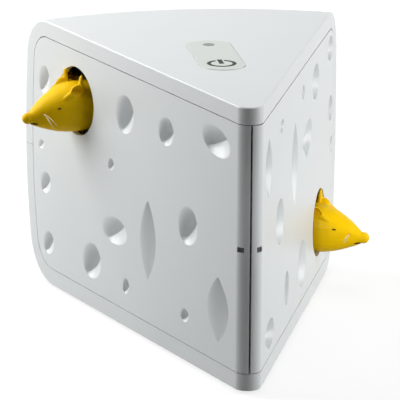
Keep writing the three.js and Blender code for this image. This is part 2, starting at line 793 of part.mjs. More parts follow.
function driveDeck() {
  const low = deckZ - deckFace;
  const high = deckZ + deckFace;
  const plate = wedge(panelWall + deck.sideGap, low, high)
    .intersect(rindBody(deck.rearInset))
    .intersect(slab(-farY, farY, deck.front, farY, low, high));
  const bosses = [];
  const bores = [];
  for (const { hand, up, x, y } of sides) {
    const place = (solid) =>
      mirrored(solid, hand, up).rotate(0, 0, -hand * halfApexAngle).translate(x, y, deckZ);
    const bossRadius = pivot.depth - panelWall - runningGap;
    bosses.push(place(rod(bossRadius, 0, deckFace + deck.boss)));
    bores.push(
      place(
        rod(
          bushing.radius + seatGap,
          deckFace + deck.boss - bushing.length,
          deckFace + deck.boss + overrun,
        ),
      ),
      place(rod(shaftRadius + seatGap, -deckFace - overrun, deckFace + deck.boss)),
      place(rod(axleRadius + seatGap, -deckFace - overrun, deckFace + overrun, -sectorToIdler, 0)),
      place(
        rod(
          motor.shaftHole,
          -deckFace - overrun,
          deckFace + overrun,
          -sectorToIdler - idlerToPinion,
          0,
        ),
      ),
    );
  }
  for (const [x, y] of deckPostPlaces) {
    bores.push(rod(screw.shank + seatGap, low - overrun, high + overrun, x, y));
  }
  return cut(joined(plate, ...bosses), ...bores);
}

// Small bought-in and moulded pieces.

function screwPiece(length, headHeight = screw.headHeight) {
  return joined(
    rod(screw.head, -headHeight, 0, 0, 0, screw.sides),
    rod(screw.shank, -overrun, length, 0, 0, screw.sides),
  );
}

function batteryCell() {
  const half = cell.length / 2;
  return turned(
    [
      [0, -half],
      [cell.radius, -half],
      [cell.radius, half],
      [cell.cap, half],
      [cell.cap, half + cell.capHeight],
      [0, half + cell.capHeight],
    ],
    16,
  );
}

function contactSprings() {
  const { x0, x1, y1 } = bayInner;
  const z0 = shellWall;
  const z1 = bayInner.top - seatGap;
  const plate = slab(x0 + seatGap, x1 - seatGap, y1 - seatGap - bay.sheet, y1 - seatGap, z0, z1);
  const cones = [-1, 0, 1].map((step) => {
    const room = bay.springRoom - bay.sheet - 2 * seatGap;
    const cone = new THREE.CylinderGeometry(cell.cap, cell.radius / 2, room, 12);
    const x = bay.centreX + step * cellPitch;
    const y = y1 - seatGap - bay.sheet - room / 2;
    return solidOf(cone).rotate(180, 0, 0).translate(x, y, cell.lift + cell.radius);
  });
  return cones.reduce((all, one) => all.add(one), plate);
}

function contactPlate() {
  const { x0, x1, y0 } = bayInner;
  const near = y0 + seatGap / 2;
  return slab(x0 + seatGap, x1 - seatGap, near, near + bay.sheet, shellWall, bayInner.top - seatGap);
}

function batteryDoor() {
  const { x0, x1, y0, y1 } = bayInner;
  const lipX = bay.centreX;
  const panel = slab(
    x0 + bayDoor.gap,
    x1 - bayDoor.gap,
    y0 + bayDoor.gap,
    y1 - bayDoor.gap,
    0,
    bayDoor.thickness,
  );
  const lip = slab(
    lipX - bayDoor.lip,
    lipX + bayDoor.lip,
    bay.frontY - bayDoor.lip,
    y0 + bayDoor.gap + overrun,
    0,
    bayDoor.lipThickness,
  );
  const lipY = bay.frontY - bayDoor.lip / 2;
  return cut(joined(panel, lip), rod(screw.shank + seatGap, -overrun, bayDoor.thickness, lipX, lipY));
}

const capBottom = topInside - seatGap - padFlange.thickness;

function powerButton() {
  const flangeTop = topInside - seatGap;
  const cap = prism(padOutline(0), flangeTop - overrun, caseHeight + pad.proud);
  const flange = prism(padOutline(padFlange.width + pad.gap), capBottom, flangeTop);
  const windowBore = rod(
    ledWindow.radius + seatGap,
    capBottom - overrun,
    caseHeight + pad.proud + overrun,
    0,
    ledY,
    20,
  );
  const windowSeat = rod(
    ledWindow.radius + ledWindow.flange + seatGap,
    capBottom - overrun,
    capBottom + ledWindow.thickness,
    0,
    ledY,
    20,
  );
  return cut(joined(cap, flange), windowBore, windowSeat);
}

function windowPiece() {
  const top = caseHeight + pad.proud;
  const seat = capBottom + ledWindow.thickness - seatGap;
  return joined(
    rod(ledWindow.radius, seat - overrun, top, 0, ledY, 20),
    rod(ledWindow.radius + ledWindow.flange, capBottom - seatGap, seat, 0, ledY, 20),
  );
}

function circuitBoard() {
  const half = board.width / 2;
  const plate = slab(-half, half, boardFrontY, boardRearY, boardBottom, boardTop);
  const bores = boardScrewPlaces.map(([x, y]) =>
    rod(screw.shank + seatGap, boardBottom - overrun, boardTop + overrun, x, y, screw.sides),
  );
  return cut(plate, ...bores);
}

function switchPiece() {
  const half = tactSwitch.side / 2;
  const z0 = boardTop + seatGap / 2;
  const z1 = z0 + tactSwitch.height;
  return joined(
    slab(-half, half, powerY - half, powerY + half, z0, z1),
    rod(tactSwitch.stemRadius, z1 - overrun, capBottom - padTravel - tactSwitch.stemGap, 0, powerY, 12),
  );
}

// Assembly.

const toy = new THREE.Group();

function mesh(name, solid, material, parent) {
  const piece = new THREE.Mesh(geometryOf(solid), material);
  piece.name = name;
  parent.add(piece);
  return piece;
}

const caseGroup = new THREE.Group();
toy.add(caseGroup);
mesh("upper_shell", upperShell(), whitePlastic, caseGroup);
mesh("lower_shell", lowerShell(), whitePlastic, caseGroup);
mesh("drive_deck", driveDeck(), blackPlastic, caseGroup);

for (const one of sides) {
  const { name, hand, up } = one;
  mesh(`${name}_side_panel`, sidePanel(one), whitePlastic, caseGroup);

  // The drive and its mouse stand on the pivot, with x outward on the right side and inward on the left.
  const drive = new THREE.Group();
  drive.position.set(one.x, one.y, 0);
  drive.rotation.z = -hand * side;
  toy.add(drive);
  const level = (solid) => mirrored(solid, hand, up);
  const onDeck = (piece, along) => {
    piece.position.set(hand * along, 0, deckZ);
    return piece;
  };
  const turnedBy = -hand * one.rest * RADIANS;

  const mouse = new THREE.Group();
  mouse.position.z = one.hole.z;
  mouse.rotation.z = turnedBy;
  drive.add(mouse);
  mesh(`${name}_mouse_head`, mirrored(mouseHead(), hand, 1), yellowPlastic, mouse);
  eyePlaces().forEach(([x, y, z], index) => {
    const ball = solidOf(new THREE.SphereGeometry(eye.radius, eye.sides, 6));
    const eyeName = `${name}_mouse_${index === 0 ? "front" : "rear"}_eye`;
    mesh(eyeName, ball, blackPlastic, mouse).position.set(hand * x, y, z);
  });

  // Shaft from the deck to the bearing at the far side of the mouse.
  const farZ = one.hole.z + up * (mouseHole.height / 2 + 1.5 * runningGap);
  const shaftTo = up * (farZ - deckZ) + farBearing.shaftInto;
  onDeck(mesh(`${name}_mouse_shaft`, level(rod(shaftRadius, shaftFrom, shaftTo)), steel, drive), 0);

  const { sectorPhase, idlerPhase, pinionPhase } = drivePhases(one.rest);
  const sectorSolid = sectorGear(sectorPhase, one.rest);
  onDeck(mesh(`${name}_sector_gear`, level(sectorSolid), ivoryPlastic, drive), 0);
  onDeck(mesh(`${name}_idler_gear`, level(idlerGear(idlerPhase)), ivoryPlastic, drive), -sectorToIdler);
  const axle = level(rod(axleRadius, -deckFace, idlerAxleTo));
  onDeck(mesh(`${name}_idler_axle`, axle, steel, drive), -sectorToIdler);
  const motorPlace = -sectorToIdler - idlerToPinion;
  onDeck(mesh(`${name}_pinion`, level(pinionGear(pinionPhase)), bronze, drive), motorPlace);
  onDeck(mesh(`${name}_gear_motor`, level(motorBody()), steel, drive), motorPlace);

  const deckBearingTop = deckFace + deck.boss + seatGap / 2 + bushing.flange;
  const deckBearing = bearing(deckBearingTop - bushing.flange - bushing.length + seatGap, deckBearingTop);
  onDeck(mesh(`${name}_deck_bushing`, level(deckBearing), bronze, drive), 0);
  const farFlange = up * (farZ - deckZ) - seatGap / 2 - bushing.flange;
  const farBush = bearing(-farFlange - bushing.flange - bushing.length + seatGap, -farFlange);
  onDeck(mesh(`${name}_far_bushing`, level(mirrored(farBush, 1, -1)), bronze, drive), 0);
}

// Screws, each standing on the face that its head bears on.
const caseShelf = splitHeight - post.shelf;
const caseScrew = screwPiece(post.shelf + post.screwInto);
const deckScrew = screwPiece(deck.thickness + deckPost.screwInto);
const boardScrew = screwPiece(board.thickness + board.below);
casePostPlaces.forEach(([x, y], i) => {
  const z = caseShelf - seatGap;
  mesh(`case_screw_${places[i]}`, caseScrew, steel, toy).position.set(x, y, z);
});
deckPostPlaces.forEach(([x, y], i) => {
  const z = deckZ + deckFace + seatGap;
  const name = `deck_screw_${places[i]}`;
  mesh(name, mirrored(deckScrew, 1, -1), steel, toy).position.set(x, y, z);
});
boardScrewPlaces.forEach(([x, y], i) => {
  const name = `board_screw_${i === 0 ? "front" : "rear"}`;
  mesh(name, boardScrew, steel, toy).position.set(x, y, boardBottom - seatGap);
});

// Battery bay.
const bayGroup = new THREE.Group();
toy.add(bayGroup);
const cellY = bayInner.y0 + seatGap + bay.sheet + cell.capHeight + cell.length / 2 + seatGap;
const cellNames = ["left", "middle", "right"];
[-1, 0, 1].forEach((step, i) => {
  const battery = mesh(`battery_cell_${cellNames[i]}`, batteryCell(), cellWrap, bayGroup);
  battery.rotation.x = Math.PI / 2;
  battery.position.set(bay.centreX + step * cellPitch, cellY, cell.lift + cell.radius);
});
mesh("battery_contact_plate", contactPlate(), steel, bayGroup);
mesh("battery_contact_springs", contactSprings(), steel, bayGroup);
mesh("battery_door", batteryDoor(), whitePlastic, bayGroup);
const doorScrewSolid = screwPiece(bayDoor.screwBoss - overrun, bayDoor.screwHead);
const doorScrew = mesh("battery_door_screw", doorScrewSolid, steel, bayGroup);
doorScrew.position.set(bay.centreX, bay.frontY - bayDoor.lip / 2, -seatGap);

// Controls.
const controls = new THREE.Group();
toy.add(controls);
mesh("power_button", powerButton(), greyPlastic, controls);
mesh("led_window", windowPiece(), clearPlastic, controls);
mesh("circuit_board", circuitBoard(), boardGreen, controls);
mesh("tact_switch", switchPiece(), blackPlastic, controls);
const ledBody = rod(led.radius, 0, led.height, 0, 0, 12);
mesh("power_led", ledBody, clearPlastic, controls).position.set(0, ledY, boardTop + seatGap);

footPlaces.forEach(([x, y], i) => {
  const disc = rod(foot.radius, -foot.height, foot.recess - seatGap, 0, 0, 20);
  mesh(`${places[i]}_foot`, disc, rubber, toy).position.set(x, y, 0);
});

// The origin is the middle of the bottom of the whole toy.
toy.updateMatrixWorld(true);
const bounds = new THREE.Box3().setFromObject(toy, true);
const middle = bounds.getCenter(new THREE.Vector3());
toy.position.set(-middle.x, -middle.y, -bounds.min.z);

export default toy;
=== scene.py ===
# %% [markdown]
# # An automatic cat toy shaped like a wedge of cheese
# A hollow white wedge, about 26 cm long, stands on three rubber feet. Two yellow mice look out of holes
# in its sides, and a grey pad on the top switches it on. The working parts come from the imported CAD
# model and stay where they are. Here the plastic skin, the mice and the pad are modelled finely, every
# surface gets its finish, and the toy is lit and seen as in its photograph.

import json
import math

import bpy
from mathutils import Matrix, Vector

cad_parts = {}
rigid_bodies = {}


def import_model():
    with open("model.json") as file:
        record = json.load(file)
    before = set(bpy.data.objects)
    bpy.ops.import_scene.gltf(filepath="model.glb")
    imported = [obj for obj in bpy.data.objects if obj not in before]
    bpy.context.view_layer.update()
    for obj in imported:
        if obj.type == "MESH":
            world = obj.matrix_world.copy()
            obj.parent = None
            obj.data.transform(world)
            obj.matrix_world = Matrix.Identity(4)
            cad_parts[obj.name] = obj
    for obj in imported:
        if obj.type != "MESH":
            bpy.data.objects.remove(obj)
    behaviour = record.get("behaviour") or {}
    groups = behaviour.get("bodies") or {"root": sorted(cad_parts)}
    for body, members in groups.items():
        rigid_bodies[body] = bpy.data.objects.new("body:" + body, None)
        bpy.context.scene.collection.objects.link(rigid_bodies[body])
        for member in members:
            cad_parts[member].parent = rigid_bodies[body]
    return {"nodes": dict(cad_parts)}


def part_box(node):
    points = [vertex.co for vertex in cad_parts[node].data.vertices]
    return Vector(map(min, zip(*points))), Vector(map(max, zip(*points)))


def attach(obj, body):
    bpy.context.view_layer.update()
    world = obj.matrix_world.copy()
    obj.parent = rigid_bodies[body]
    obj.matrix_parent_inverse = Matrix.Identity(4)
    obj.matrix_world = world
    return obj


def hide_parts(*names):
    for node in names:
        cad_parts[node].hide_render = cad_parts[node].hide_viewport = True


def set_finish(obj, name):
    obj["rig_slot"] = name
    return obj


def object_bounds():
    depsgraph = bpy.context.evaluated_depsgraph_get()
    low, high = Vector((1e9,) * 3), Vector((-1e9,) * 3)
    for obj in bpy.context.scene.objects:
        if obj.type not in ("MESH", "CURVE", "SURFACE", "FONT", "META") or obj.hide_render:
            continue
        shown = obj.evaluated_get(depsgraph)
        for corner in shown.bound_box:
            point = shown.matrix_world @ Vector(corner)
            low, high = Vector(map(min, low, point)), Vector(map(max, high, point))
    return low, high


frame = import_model()
cad_low, cad_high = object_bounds()
print("CAD box in mm", [round(v * 1000, 1) for v in (*cad_low, *cad_high)])

# %% [markdown]
# ## Sizes
# The sizes are in millimetres, as on a drawing. The case is measured from the sharp point that its side
# faces would meet in: x runs across it, y from that point to the rind, and z up from its underside. The
# frame says where this place lies, so that the pieces made here fit the CAD pieces.

# %% The main sizes of the case
MM = 0.001
CASE_HEIGHT = 152
WEDGE_LENGTH = 275
HALF_APEX = math.radians(19.33)
APEX_RADIUS = 7.35
RIND_RADIUS = 220
RIND_CENTRE = WEDGE_LENGTH - RIND_RADIUS
RIND_WIDEST = 82
TOP_ROUND = 25
BOTTOM_ROUND = 28
TOP_LEAN = math.radians(5)
BOTTOM_LEAN = math.radians(11)
SHELL_WALL = 2.5
SPLIT = 76.5
PANEL_WALL = 3
BAND_WIDTH = 9.2
PANEL_GAP = 0.5
FRONT_SEAM = 1
SEAT_GAP = 0.3
OVERRUN = 2

board_low, board_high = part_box("circuit_board")
CASE_X = (board_low.x + board_high.x) / 2
CASE_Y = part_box("upper_shell")[1].y - WEDGE_LENGTH * MM
CASE_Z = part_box("lower_shell")[0].z


def place(x, y, z):
    """A point of the case, in millimetres, as a point of the scene, in metres."""
    return Vector((CASE_X + x * MM, CASE_Y + y * MM, CASE_Z + z * MM))


print("case origin in mm", [round(v * 1000, 2) for v in place(0, 0, 0)])

# %% [markdown]
# ## The tools of the trade
# Outlines are drawn by extruding one point from place to place, as with the E key. Pieces are cut and
# joined with Boolean modifiers, which are applied at once. An operator works on everything that is
# selected, so each tool deselects all before it starts.


# %% Select, draw, raise and combine
def only(piece):
    """Leaves one object selected and active."""
    bpy.ops.object.select_all(action="DESELECT")
    piece.select_set(True)
    bpy.context.view_layer.objects.active = piece


def edit_all(piece):
    """Opens edit mode on one object, with all of it selected."""
    only(piece)
    bpy.ops.object.mode_set(mode="EDIT")
    bpy.ops.mesh.select_all(action="SELECT")


def leave_edit():
    bpy.ops.object.mode_set(mode="OBJECT")


def draw(name, points, closed=True):
    """A line of points, or the flat face inside it, drawn by extruding one point."""
    bpy.ops.object.select_all(action="DESELECT")
    bpy.ops.mesh.primitive_plane_add(size=MM, location=points[0])
    piece = bpy.context.object
    piece.name = name
    bpy.ops.object.transform_apply(location=True)
    edit_all(piece)
    bpy.ops.mesh.merge(type="CENTER")
    for here, there in zip(points, points[1:]):
        step = Vector(there) - Vector(here)
        bpy.ops.mesh.extrude_vertices_move(TRANSFORM_OT_translate={"value": step})
    if closed:
        bpy.ops.mesh.select_all(action="SELECT")
        bpy.ops.mesh.edge_face_add()
    leave_edit()
    return piece


def raise_face(piece, height):
    """Extrudes a drawn face upward into a solid, by a height in millimetres."""
    edit_all(piece)
    bpy.ops.mesh.extrude_region_move(TRANSFORM_OT_translate={"value": (0, 0, height * MM)})
    bpy.ops.mesh.select_all(action="SELECT")
    bpy.ops.mesh.normals_make_consistent(inside=False)
    leave_edit()
    return piece


def block(low, high):
    """A box between two corners of the case."""
    bpy.ops.object.select_all(action="DESELECT")
    middle = place(*[(a + b) / 2 for a, b in zip(low, high)])
    size = [(b - a) * MM for a, b in zip(low, high)]
    bpy.ops.mesh.primitive_cube_add(size=1, location=middle, scale=size)
    bpy.ops.object.transform_apply(location=True, rotation=True, scale=True)
    return bpy.context.object


def bar(radius, low, high, x, y, sides=48):
    """An upright round bar."""
    bpy.ops.object.select_all(action="DESELECT")
    bpy.ops.mesh.primitive_cylinder_add(
        vertices=sides,
        radius=radius * MM,
        depth=(high - low) * MM,
        location=place(x, y, (low + high) / 2),
    )
    bpy.ops.object.transform_apply(location=True, rotation=True, scale=True)
    return bpy.context.object


def apply_modifiers(piece):
    only(piece)
    for modifier in list(piece.modifiers):
        bpy.ops.object.modifier_apply(modifier=modifier.name)


def combine(piece, tool, operation, keep_tool=False):
    """Cuts, joins or intersects a piece with a tool, which is then thrown away."""
    modifier = piece.modifiers.new("combine", "BOOLEAN")
    modifier.operation = operation
    modifier.solver = "MANIFOLD"
    modifier.object = tool
    apply_modifiers(piece)
    if not keep_tool:
        bpy.data.objects.remove(tool, do_unlink=True)
    return piece


def copy_of(piece, name):
    """A copy with its own mesh. What a CAD node says about itself is not copied with it."""
    only(piece)
    bpy.ops.object.duplicate()
    twin = bpy.context.object
    twin.name = name
    for key in list(twin.keys()):
        del twin[key]
    bpy.ops.object.parent_clear(type="CLEAR_KEEP_TRANSFORM")
    bpy.ops.object.transform_apply(location=True, rotation=True, scale=True)
    twin.data.materials.clear()
    return twin


def merged_copy(node):
    """A copy of a CAD node. Its loose triangles are merged first, so that it can be cut."""
    shown = frame["nodes"][node]
    twin = copy_of(shown, node + "_copy")
    edit_all(twin)
    bpy.ops.mesh.remove_doubles(threshold=0.001 * MM)
    leave_edit()
    return twin


def round_edges(piece, radius, angle=40, segments=3):
    modifier = piece.modifiers.new("round", "BEVEL")
    modifier.width = radius * MM
    modifier.segments = segments
    modifier.limit_method = "ANGLE"
    modifier.angle_limit = math.radians(angle)
    modifier.use_clamp_overlap = True
    modifier.harden_normals = False
    apply_modifiers(piece)
    return piece


def smooth(piece, angle=30):
    """Shades gentle turns smooth and leaves sharp ones crisp."""
    only(piece)
    bpy.ops.object.shade_smooth_by_angle(angle=math.radians(angle))
    modifier = piece.modifiers.new("flat faces lead", "WEIGHTED_NORMAL")
    modifier.keep_sharp = True
    modifier.weight = 80
    apply_modifiers(piece)
    return piece


def finish_piece(piece, name, body, slot, *nodes):
    """Names a piece, says what it rides on, its slot of finish and the CAD nodes it stands for."""
    piece.name = name
    piece.data.name = name
    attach(piece, body)
    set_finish(piece, slot)
    if nodes:
        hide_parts(*nodes)
    print(name, len(piece.data.polygons), "faces")
    return piece


# %% [markdown]
# ## The case
# The toy is a slice of a round cheese: where a turned body, the cheese, meets an upright wedge, the
# slice. The cheese's edge bulges and is rounded at the top and the bottom. Its outline is drawn as a
# line and spun round, and the wedge is drawn as a face and raised. The same two shapes, drawn smaller,
# give the hollow inside and the outline of the side panels, which runs alongside that of the case.


# %% The cheese and the slice
def rind_round(rounding, lean, rise):
    """The radius at which one rounded edge of the cheese has its middle."""
    up_to_round = rise - rounding * (1 - math.sin(lean))
    return RIND_RADIUS - math.tan(lean) * up_to_round / 2 - rounding * math.cos(lean)


def cheese_profile(inset, arc_steps=12, side_steps=5):
    """Half of the cheese's section, as pairs of radius and height."""
    low_middle = rind_round(BOTTOM_ROUND, BOTTOM_LEAN, RIND_WIDEST)
    high_middle = rind_round(TOP_ROUND, TOP_LEAN, CASE_HEIGHT - RIND_WIDEST)
    low_round = BOTTOM_ROUND - inset
    high_round = TOP_ROUND - inset
    widest = RIND_RADIUS - inset
    lower = []
    for step in range(arc_steps + 1):
        angle = -math.pi / 2 + (math.pi / 2 - BOTTOM_LEAN) * step / arc_steps
        lower.append(
            (low_middle + low_round * math.cos(angle), BOTTOM_ROUND + low_round * math.sin(angle))
        )
    upper = []
    for step in range(arc_steps + 1):
        angle = TOP_LEAN + (math.pi / 2 - TOP_LEAN) * step / arc_steps
        radius = high_middle + high_round * math.cos(angle)
        upper.append((radius, CASE_HEIGHT - TOP_ROUND + high_round * math.sin(angle)))
    bulge = []
    for step in range(-side_steps + 1, side_steps):
        radius, height = lower[-1] if step < 0 else upper[0]
        share = abs(step) / side_steps
        bulge.append(
            (widest - (widest - radius) * share**2, RIND_WIDEST + (height - RIND_WIDEST) * share)
        )
    return [(0, inset), *lower, *bulge, *upper, (0, CASE_HEIGHT - inset)]


def cheese(inset, turns=160):
    """The round cheese, moved in from its surface by inset."""
    profile = [place(0, RIND_CENTRE + radius, z) for radius, z in cheese_profile(inset)]
    body = draw("cheese", profile, closed=False)
    edit_all(body)
    bpy.ops.mesh.spin(
        steps=turns, angle=2 * math.pi, center=place(0, RIND_CENTRE, 0), axis=(0, 0, 1)
    )
    bpy.ops.mesh.select_all(action="SELECT")
    bpy.ops.mesh.remove_doubles(threshold=0.01 * MM)
    bpy.ops.mesh.normals_make_consistent(inside=False)
    leave_edit()
    return body


def cheese_slice(inset, low=-OVERRUN, high=CASE_HEIGHT + OVERRUN, steps=20):
    """The upright wedge, moved in from its side faces by inset."""
    far = WEDGE_LENGTH + RIND_RADIUS
    tip = inset / math.sin(HALF_APEX)
    wide = (far - tip) * math.tan(HALF_APEX)
    rounding = APEX_RADIUS - inset
    middle = APEX_RADIUS / math.sin(HALF_APEX)
    outline = [(wide, far), (-wide, far)]
    if rounding > 0:
        for step in range(steps + 1):
            angle = math.pi + HALF_APEX + (math.pi - 2 * HALF_APEX) * step / steps
            outline.append((rounding * math.cos(angle), middle + rounding * math.sin(angle)))
    else:
        outline.append((0, tip))
    face = draw("slice", [place(x, y, low) for x, y in outline])
    return raise_face(face, high - low)


# %% The whole case, solid, with its edges rounded
EDGE_ROUND = 0.9
case = combine(cheese_slice(0, 0, CASE_HEIGHT), cheese(0), "INTERSECT")
edit_all(case)
bpy.ops.mesh.dissolve_limited(angle_limit=math.radians(0.4))
bpy.ops.mesh.select_mode(type="EDGE")
bpy.ops.mesh.select_all(action="DESELECT")
bpy.ops.mesh.edges_select_sharp(sharpness=math.radians(40))
bpy.ops.mesh.bevel(offset=EDGE_ROUND * MM, segments=4, profile=0.5, clamp_overlap=False)
bpy.ops.mesh.select_mode(type="VERT")
leave_edit()
print("solid case", len(case.data.polygons), "faces")

# %% [markdown]
# ## The shells
# The case is moulded in two shells that meet in a line round its middle. Both keep a band round the
# side panels and a recess that the panels sit in. The outside is cut finely here. The inside, with its
# posts, ledges and battery bay, is taken from the CAD nodes, so that every screw still finds its post.

# %% The hollow, the recess of the panels and the walls
hollow = combine(cheese_slice(SHELL_WALL), cheese(SHELL_WALL), "INTERSECT")
recess = combine(cheese_slice(-OVERRUN), cheese_slice(PANEL_WALL + SEAT_GAP), "DIFFERENCE")
combine(recess, cheese(BAND_WIDTH), "INTERSECT")
LIP_ROUND = 0.3
walls = copy_of(case, "walls")
combine(walls, hollow, "DIFFERENCE")
combine(walls, recess, "DIFFERENCE")
round_edges(walls, LIP_ROUND, angle=55, segments=2)
print("walls", len(walls.data.polygons), "faces")


# %% The inside of a shell, from its CAD node
KEPT_DEPTH = 1.2
PANEL_CLEARANCE = 0.1


def inside_of(node):
    """What a CAD shell has on its inside, cut free from its outer skin."""
    room = cheese_slice(
        PANEL_WALL + SEAT_GAP + PANEL_CLEARANCE, KEPT_DEPTH, CASE_HEIGHT - KEPT_DEPTH
    )
    combine(room, cheese(KEPT_DEPTH), "INTERSECT")
    return combine(merged_copy(node), room, "INTERSECT")


def shell(node, low, high):
    """One shell: the fine wall between two heights, joined to the inside of its node."""
    far = WEDGE_LENGTH
    part = copy_of(walls, node)
    combine(part, block((-far, -far, low), (far, 2 * far, high)), "INTERSECT")
    return combine(part, inside_of(node), "UNION")


SPLIT_GAP = 0.3
upper = shell("upper_shell", SPLIT + SPLIT_GAP / 2, CASE_HEIGHT + OVERRUN)
lower = shell("lower_shell", -OVERRUN, SPLIT - SPLIT_GAP / 2)
bpy.data.objects.remove(walls, do_unlink=True)

# %% [markdown]
# ## Openings in the shells
# The pad sits in a cut-out of the top, with a narrow gap all round it. The feet stand in shallow round
# recesses, and three deep wells let a screwdriver reach the screws that hold the case together.

# %% The openings of the shells
PAD_HALF_WIDTH = 12
PAD_FRONT = 99
PAD_REAR = 163
PAD_BOW = 6.5
PAD_GAP = 0.35


def pad_outline(grow, steps=24):
    """Plan of the control pad: a half round at the front, straight sides and a bowed rear."""
    half = PAD_HALF_WIDTH + grow
    outline = []
    for step in range(steps + 1):
        angle = math.pi + math.pi * step / steps
        outline.append((half * math.cos(angle), PAD_FRONT + PAD_HALF_WIDTH + half * math.sin(angle)))
    bow = (PAD_HALF_WIDTH**2 + PAD_BOW**2) / (2 * PAD_BOW)
    bow_centre = PAD_REAR + PAD_BOW - bow
    spread = math.asin(min(1, half / (bow + grow)))
    for step in range(steps + 1):
        angle = math.pi / 2 - spread + 2 * spread * step / steps
        outline.append(((bow + grow) * math.cos(angle), bow_centre + (bow + grow) * math.sin(angle)))
    return outline


def pad_prism(grow, low, high):
    """The plan of the pad, raised between two heights."""
    face = draw("pad outline", [place(x, y, low) for x, y in pad_outline(grow)])
    return raise_face(face, high - low)


combine(upper, pad_prism(PAD_GAP, CASE_HEIGHT - SHELL_WALL - 1, CASE_HEIGHT + OVERRUN), "DIFFERENCE")

FOOT_RADIUS = 6
FOOT_RECESS = 0.8
FOOT_PLACES = [(0, 54), (-64, 214), (64, 214)]
WELL_RADIUS = 2.8
WELL_DEPTH = SPLIT - 10
WELL_SIDES = 32
WELL_PLACES = [(0, 40), (-24, 168), (24, 168)]
for x, y in FOOT_PLACES:
    combine(lower, bar(FOOT_RADIUS + SEAT_GAP, -OVERRUN, FOOT_RECESS, x, y), "DIFFERENCE")
for x, y in WELL_PLACES:
    combine(lower, bar(WELL_RADIUS, -OVERRUN, WELL_DEPTH, x, y, WELL_SIDES), "DIFFERENCE")
for piece in (upper, lower):
    smooth(piece)
finish_piece(upper, "case_upper_shell", "root", "white_plastic", "upper_shell")
finish_piece(lower, "case_lower_shell", "root", "white_plastic", "lower_shell")

# %% [markdown]
# ## The side panels
# Each side is a separate moulded panel, 3 mm thick, that wraps round half of the point and meets the
# other in the dark seam at the front. A mouse hole and a small slot go through it. The holes of the
# cheese don't: they are shallow dents.

# %% Two plain panels
HOLE_WIDTH = 43
HOLE_HEIGHT = 38.4
HOLES = {-1: (206.4, (SPLIT + CASE_HEIGHT) / 2), 1: (211.5, 38.5)}
SLOT_WIDTH = 4.4
SLOT_HEIGHT = 2.9
SLOT_HEIGHT_PLACE = 76
SLOT_TURN = math.radians(45)
SLOT_RUN = 1
HOOK_SUNK = 1.9
HOOK_ROUND = 0.25
PANEL_ROUND = 0.35
SIDE = {-1: "left", 1: "right"}


def on_face(hand, s, out, z):
    """A point of a side face: s runs from the sharp point along the face, out is outward."""
    x = hand * (s * math.sin(HALF_APEX) + out * math.cos(HALF_APEX))
    return place(x, s * math.cos(HALF_APEX) - out * math.sin(HALF_APEX), z)


def set_on_face(piece, hand, s, out, z):
    """Moves a piece, made at the origin with x outward, y rearward and z up, onto a side face."""
    side_turn = Matrix.Rotation(-hand * HALF_APEX, 4, "Z") @ Matrix.Diagonal((hand, 1, 1, 1))
    only(piece)
    piece.matrix_world = Matrix.Translation(on_face(hand, s, out, z)) @ side_turn
    bpy.ops.object.transform_apply(location=True, rotation=True, scale=True)
    edit_all(piece)
    bpy.ops.mesh.normals_make_consistent(inside=False)
    leave_edit()
    return piece


def hole_tool(hand):
    """The oval bar that cuts a mouse hole."""
    bpy.ops.object.select_all(action="DESELECT")
    bpy.ops.mesh.primitive_cylinder_add(
        vertices=72, radius=1, depth=4 * PANEL_WALL * MM, rotation=(0, math.pi / 2, 0)
    )
    bpy.ops.object.transform_apply(location=True, rotation=True, scale=True)
    tool = bpy.context.object
    tool.scale = (1, HOLE_WIDTH / 2 * MM, HOLE_HEIGHT / 2 * MM)
    bpy.ops.object.transform_apply(location=True, rotation=True, scale=True)
    s, z = HOLES[hand]
    return set_on_face(tool, hand, s, 0, z)


def slot_tool(hand):
    """The block that cuts a slot, turned round the middle of the rounded point."""
    half_width = SLOT_WIDTH / 2
    half_height = SLOT_HEIGHT / 2
    centre = APEX_RADIUS / math.sin(HALF_APEX)
    tool = block(
        (-half_width, centre - APEX_RADIUS - SLOT_RUN, SLOT_HEIGHT_PLACE - half_height),
        (half_width, centre - APEX_RADIUS + PANEL_WALL + SLOT_RUN, SLOT_HEIGHT_PLACE + half_height),
    )
    edit_all(tool)
    bpy.ops.transform.rotate(
        value=-hand * SLOT_TURN, orient_axis="Z", center_override=place(0, centre, 0)
    )
    leave_edit()
    return tool


def plain_panel(hand):
    """A panel with its hole and slot: the skin of the slice, inside the band of the case."""
    far = WEDGE_LENGTH
    panel = combine(cheese_slice(0), cheese_slice(PANEL_WALL), "DIFFERENCE")
    combine(panel, cheese(BAND_WIDTH + PANEL_GAP), "INTERSECT")
    near, wide = sorted((hand * FRONT_SEAM / 2, hand * far))
    combine(panel, block((near, -far, -OVERRUN), (wide, 2 * far, CASE_HEIGHT)), "INTERSECT")
    combine(panel, hole_tool(hand), "DIFFERENCE")
    combine(panel, slot_tool(hand), "DIFFERENCE")
    return round_edges(panel, PANEL_ROUND, angle=50, segments=2)


def snap_hook(hand):
    """The black hook behind a slot, which holds the panel and can be pressed back through it."""
    hook = slot_tool(hand)
    only(hook)
    turn = hand * SLOT_TURN
    inward = Vector((-math.sin(turn), math.cos(turn), 0))
    bpy.ops.transform.translate(value=inward * HOOK_SUNK * MM)
    bpy.ops.object.transform_apply(location=True)
    round_edges(hook, HOOK_ROUND, angle=60, segments=2)
    smooth(hook)
    return finish_piece(hook, SIDE[hand] + "_snap_hook", "root", "black_plastic")


for hand in (-1, 1):
    snap_hook(hand)
panels = {hand: plain_panel(hand) for hand in (-1, 1)}
print("slot and hole cut in", len(panels), "panels")

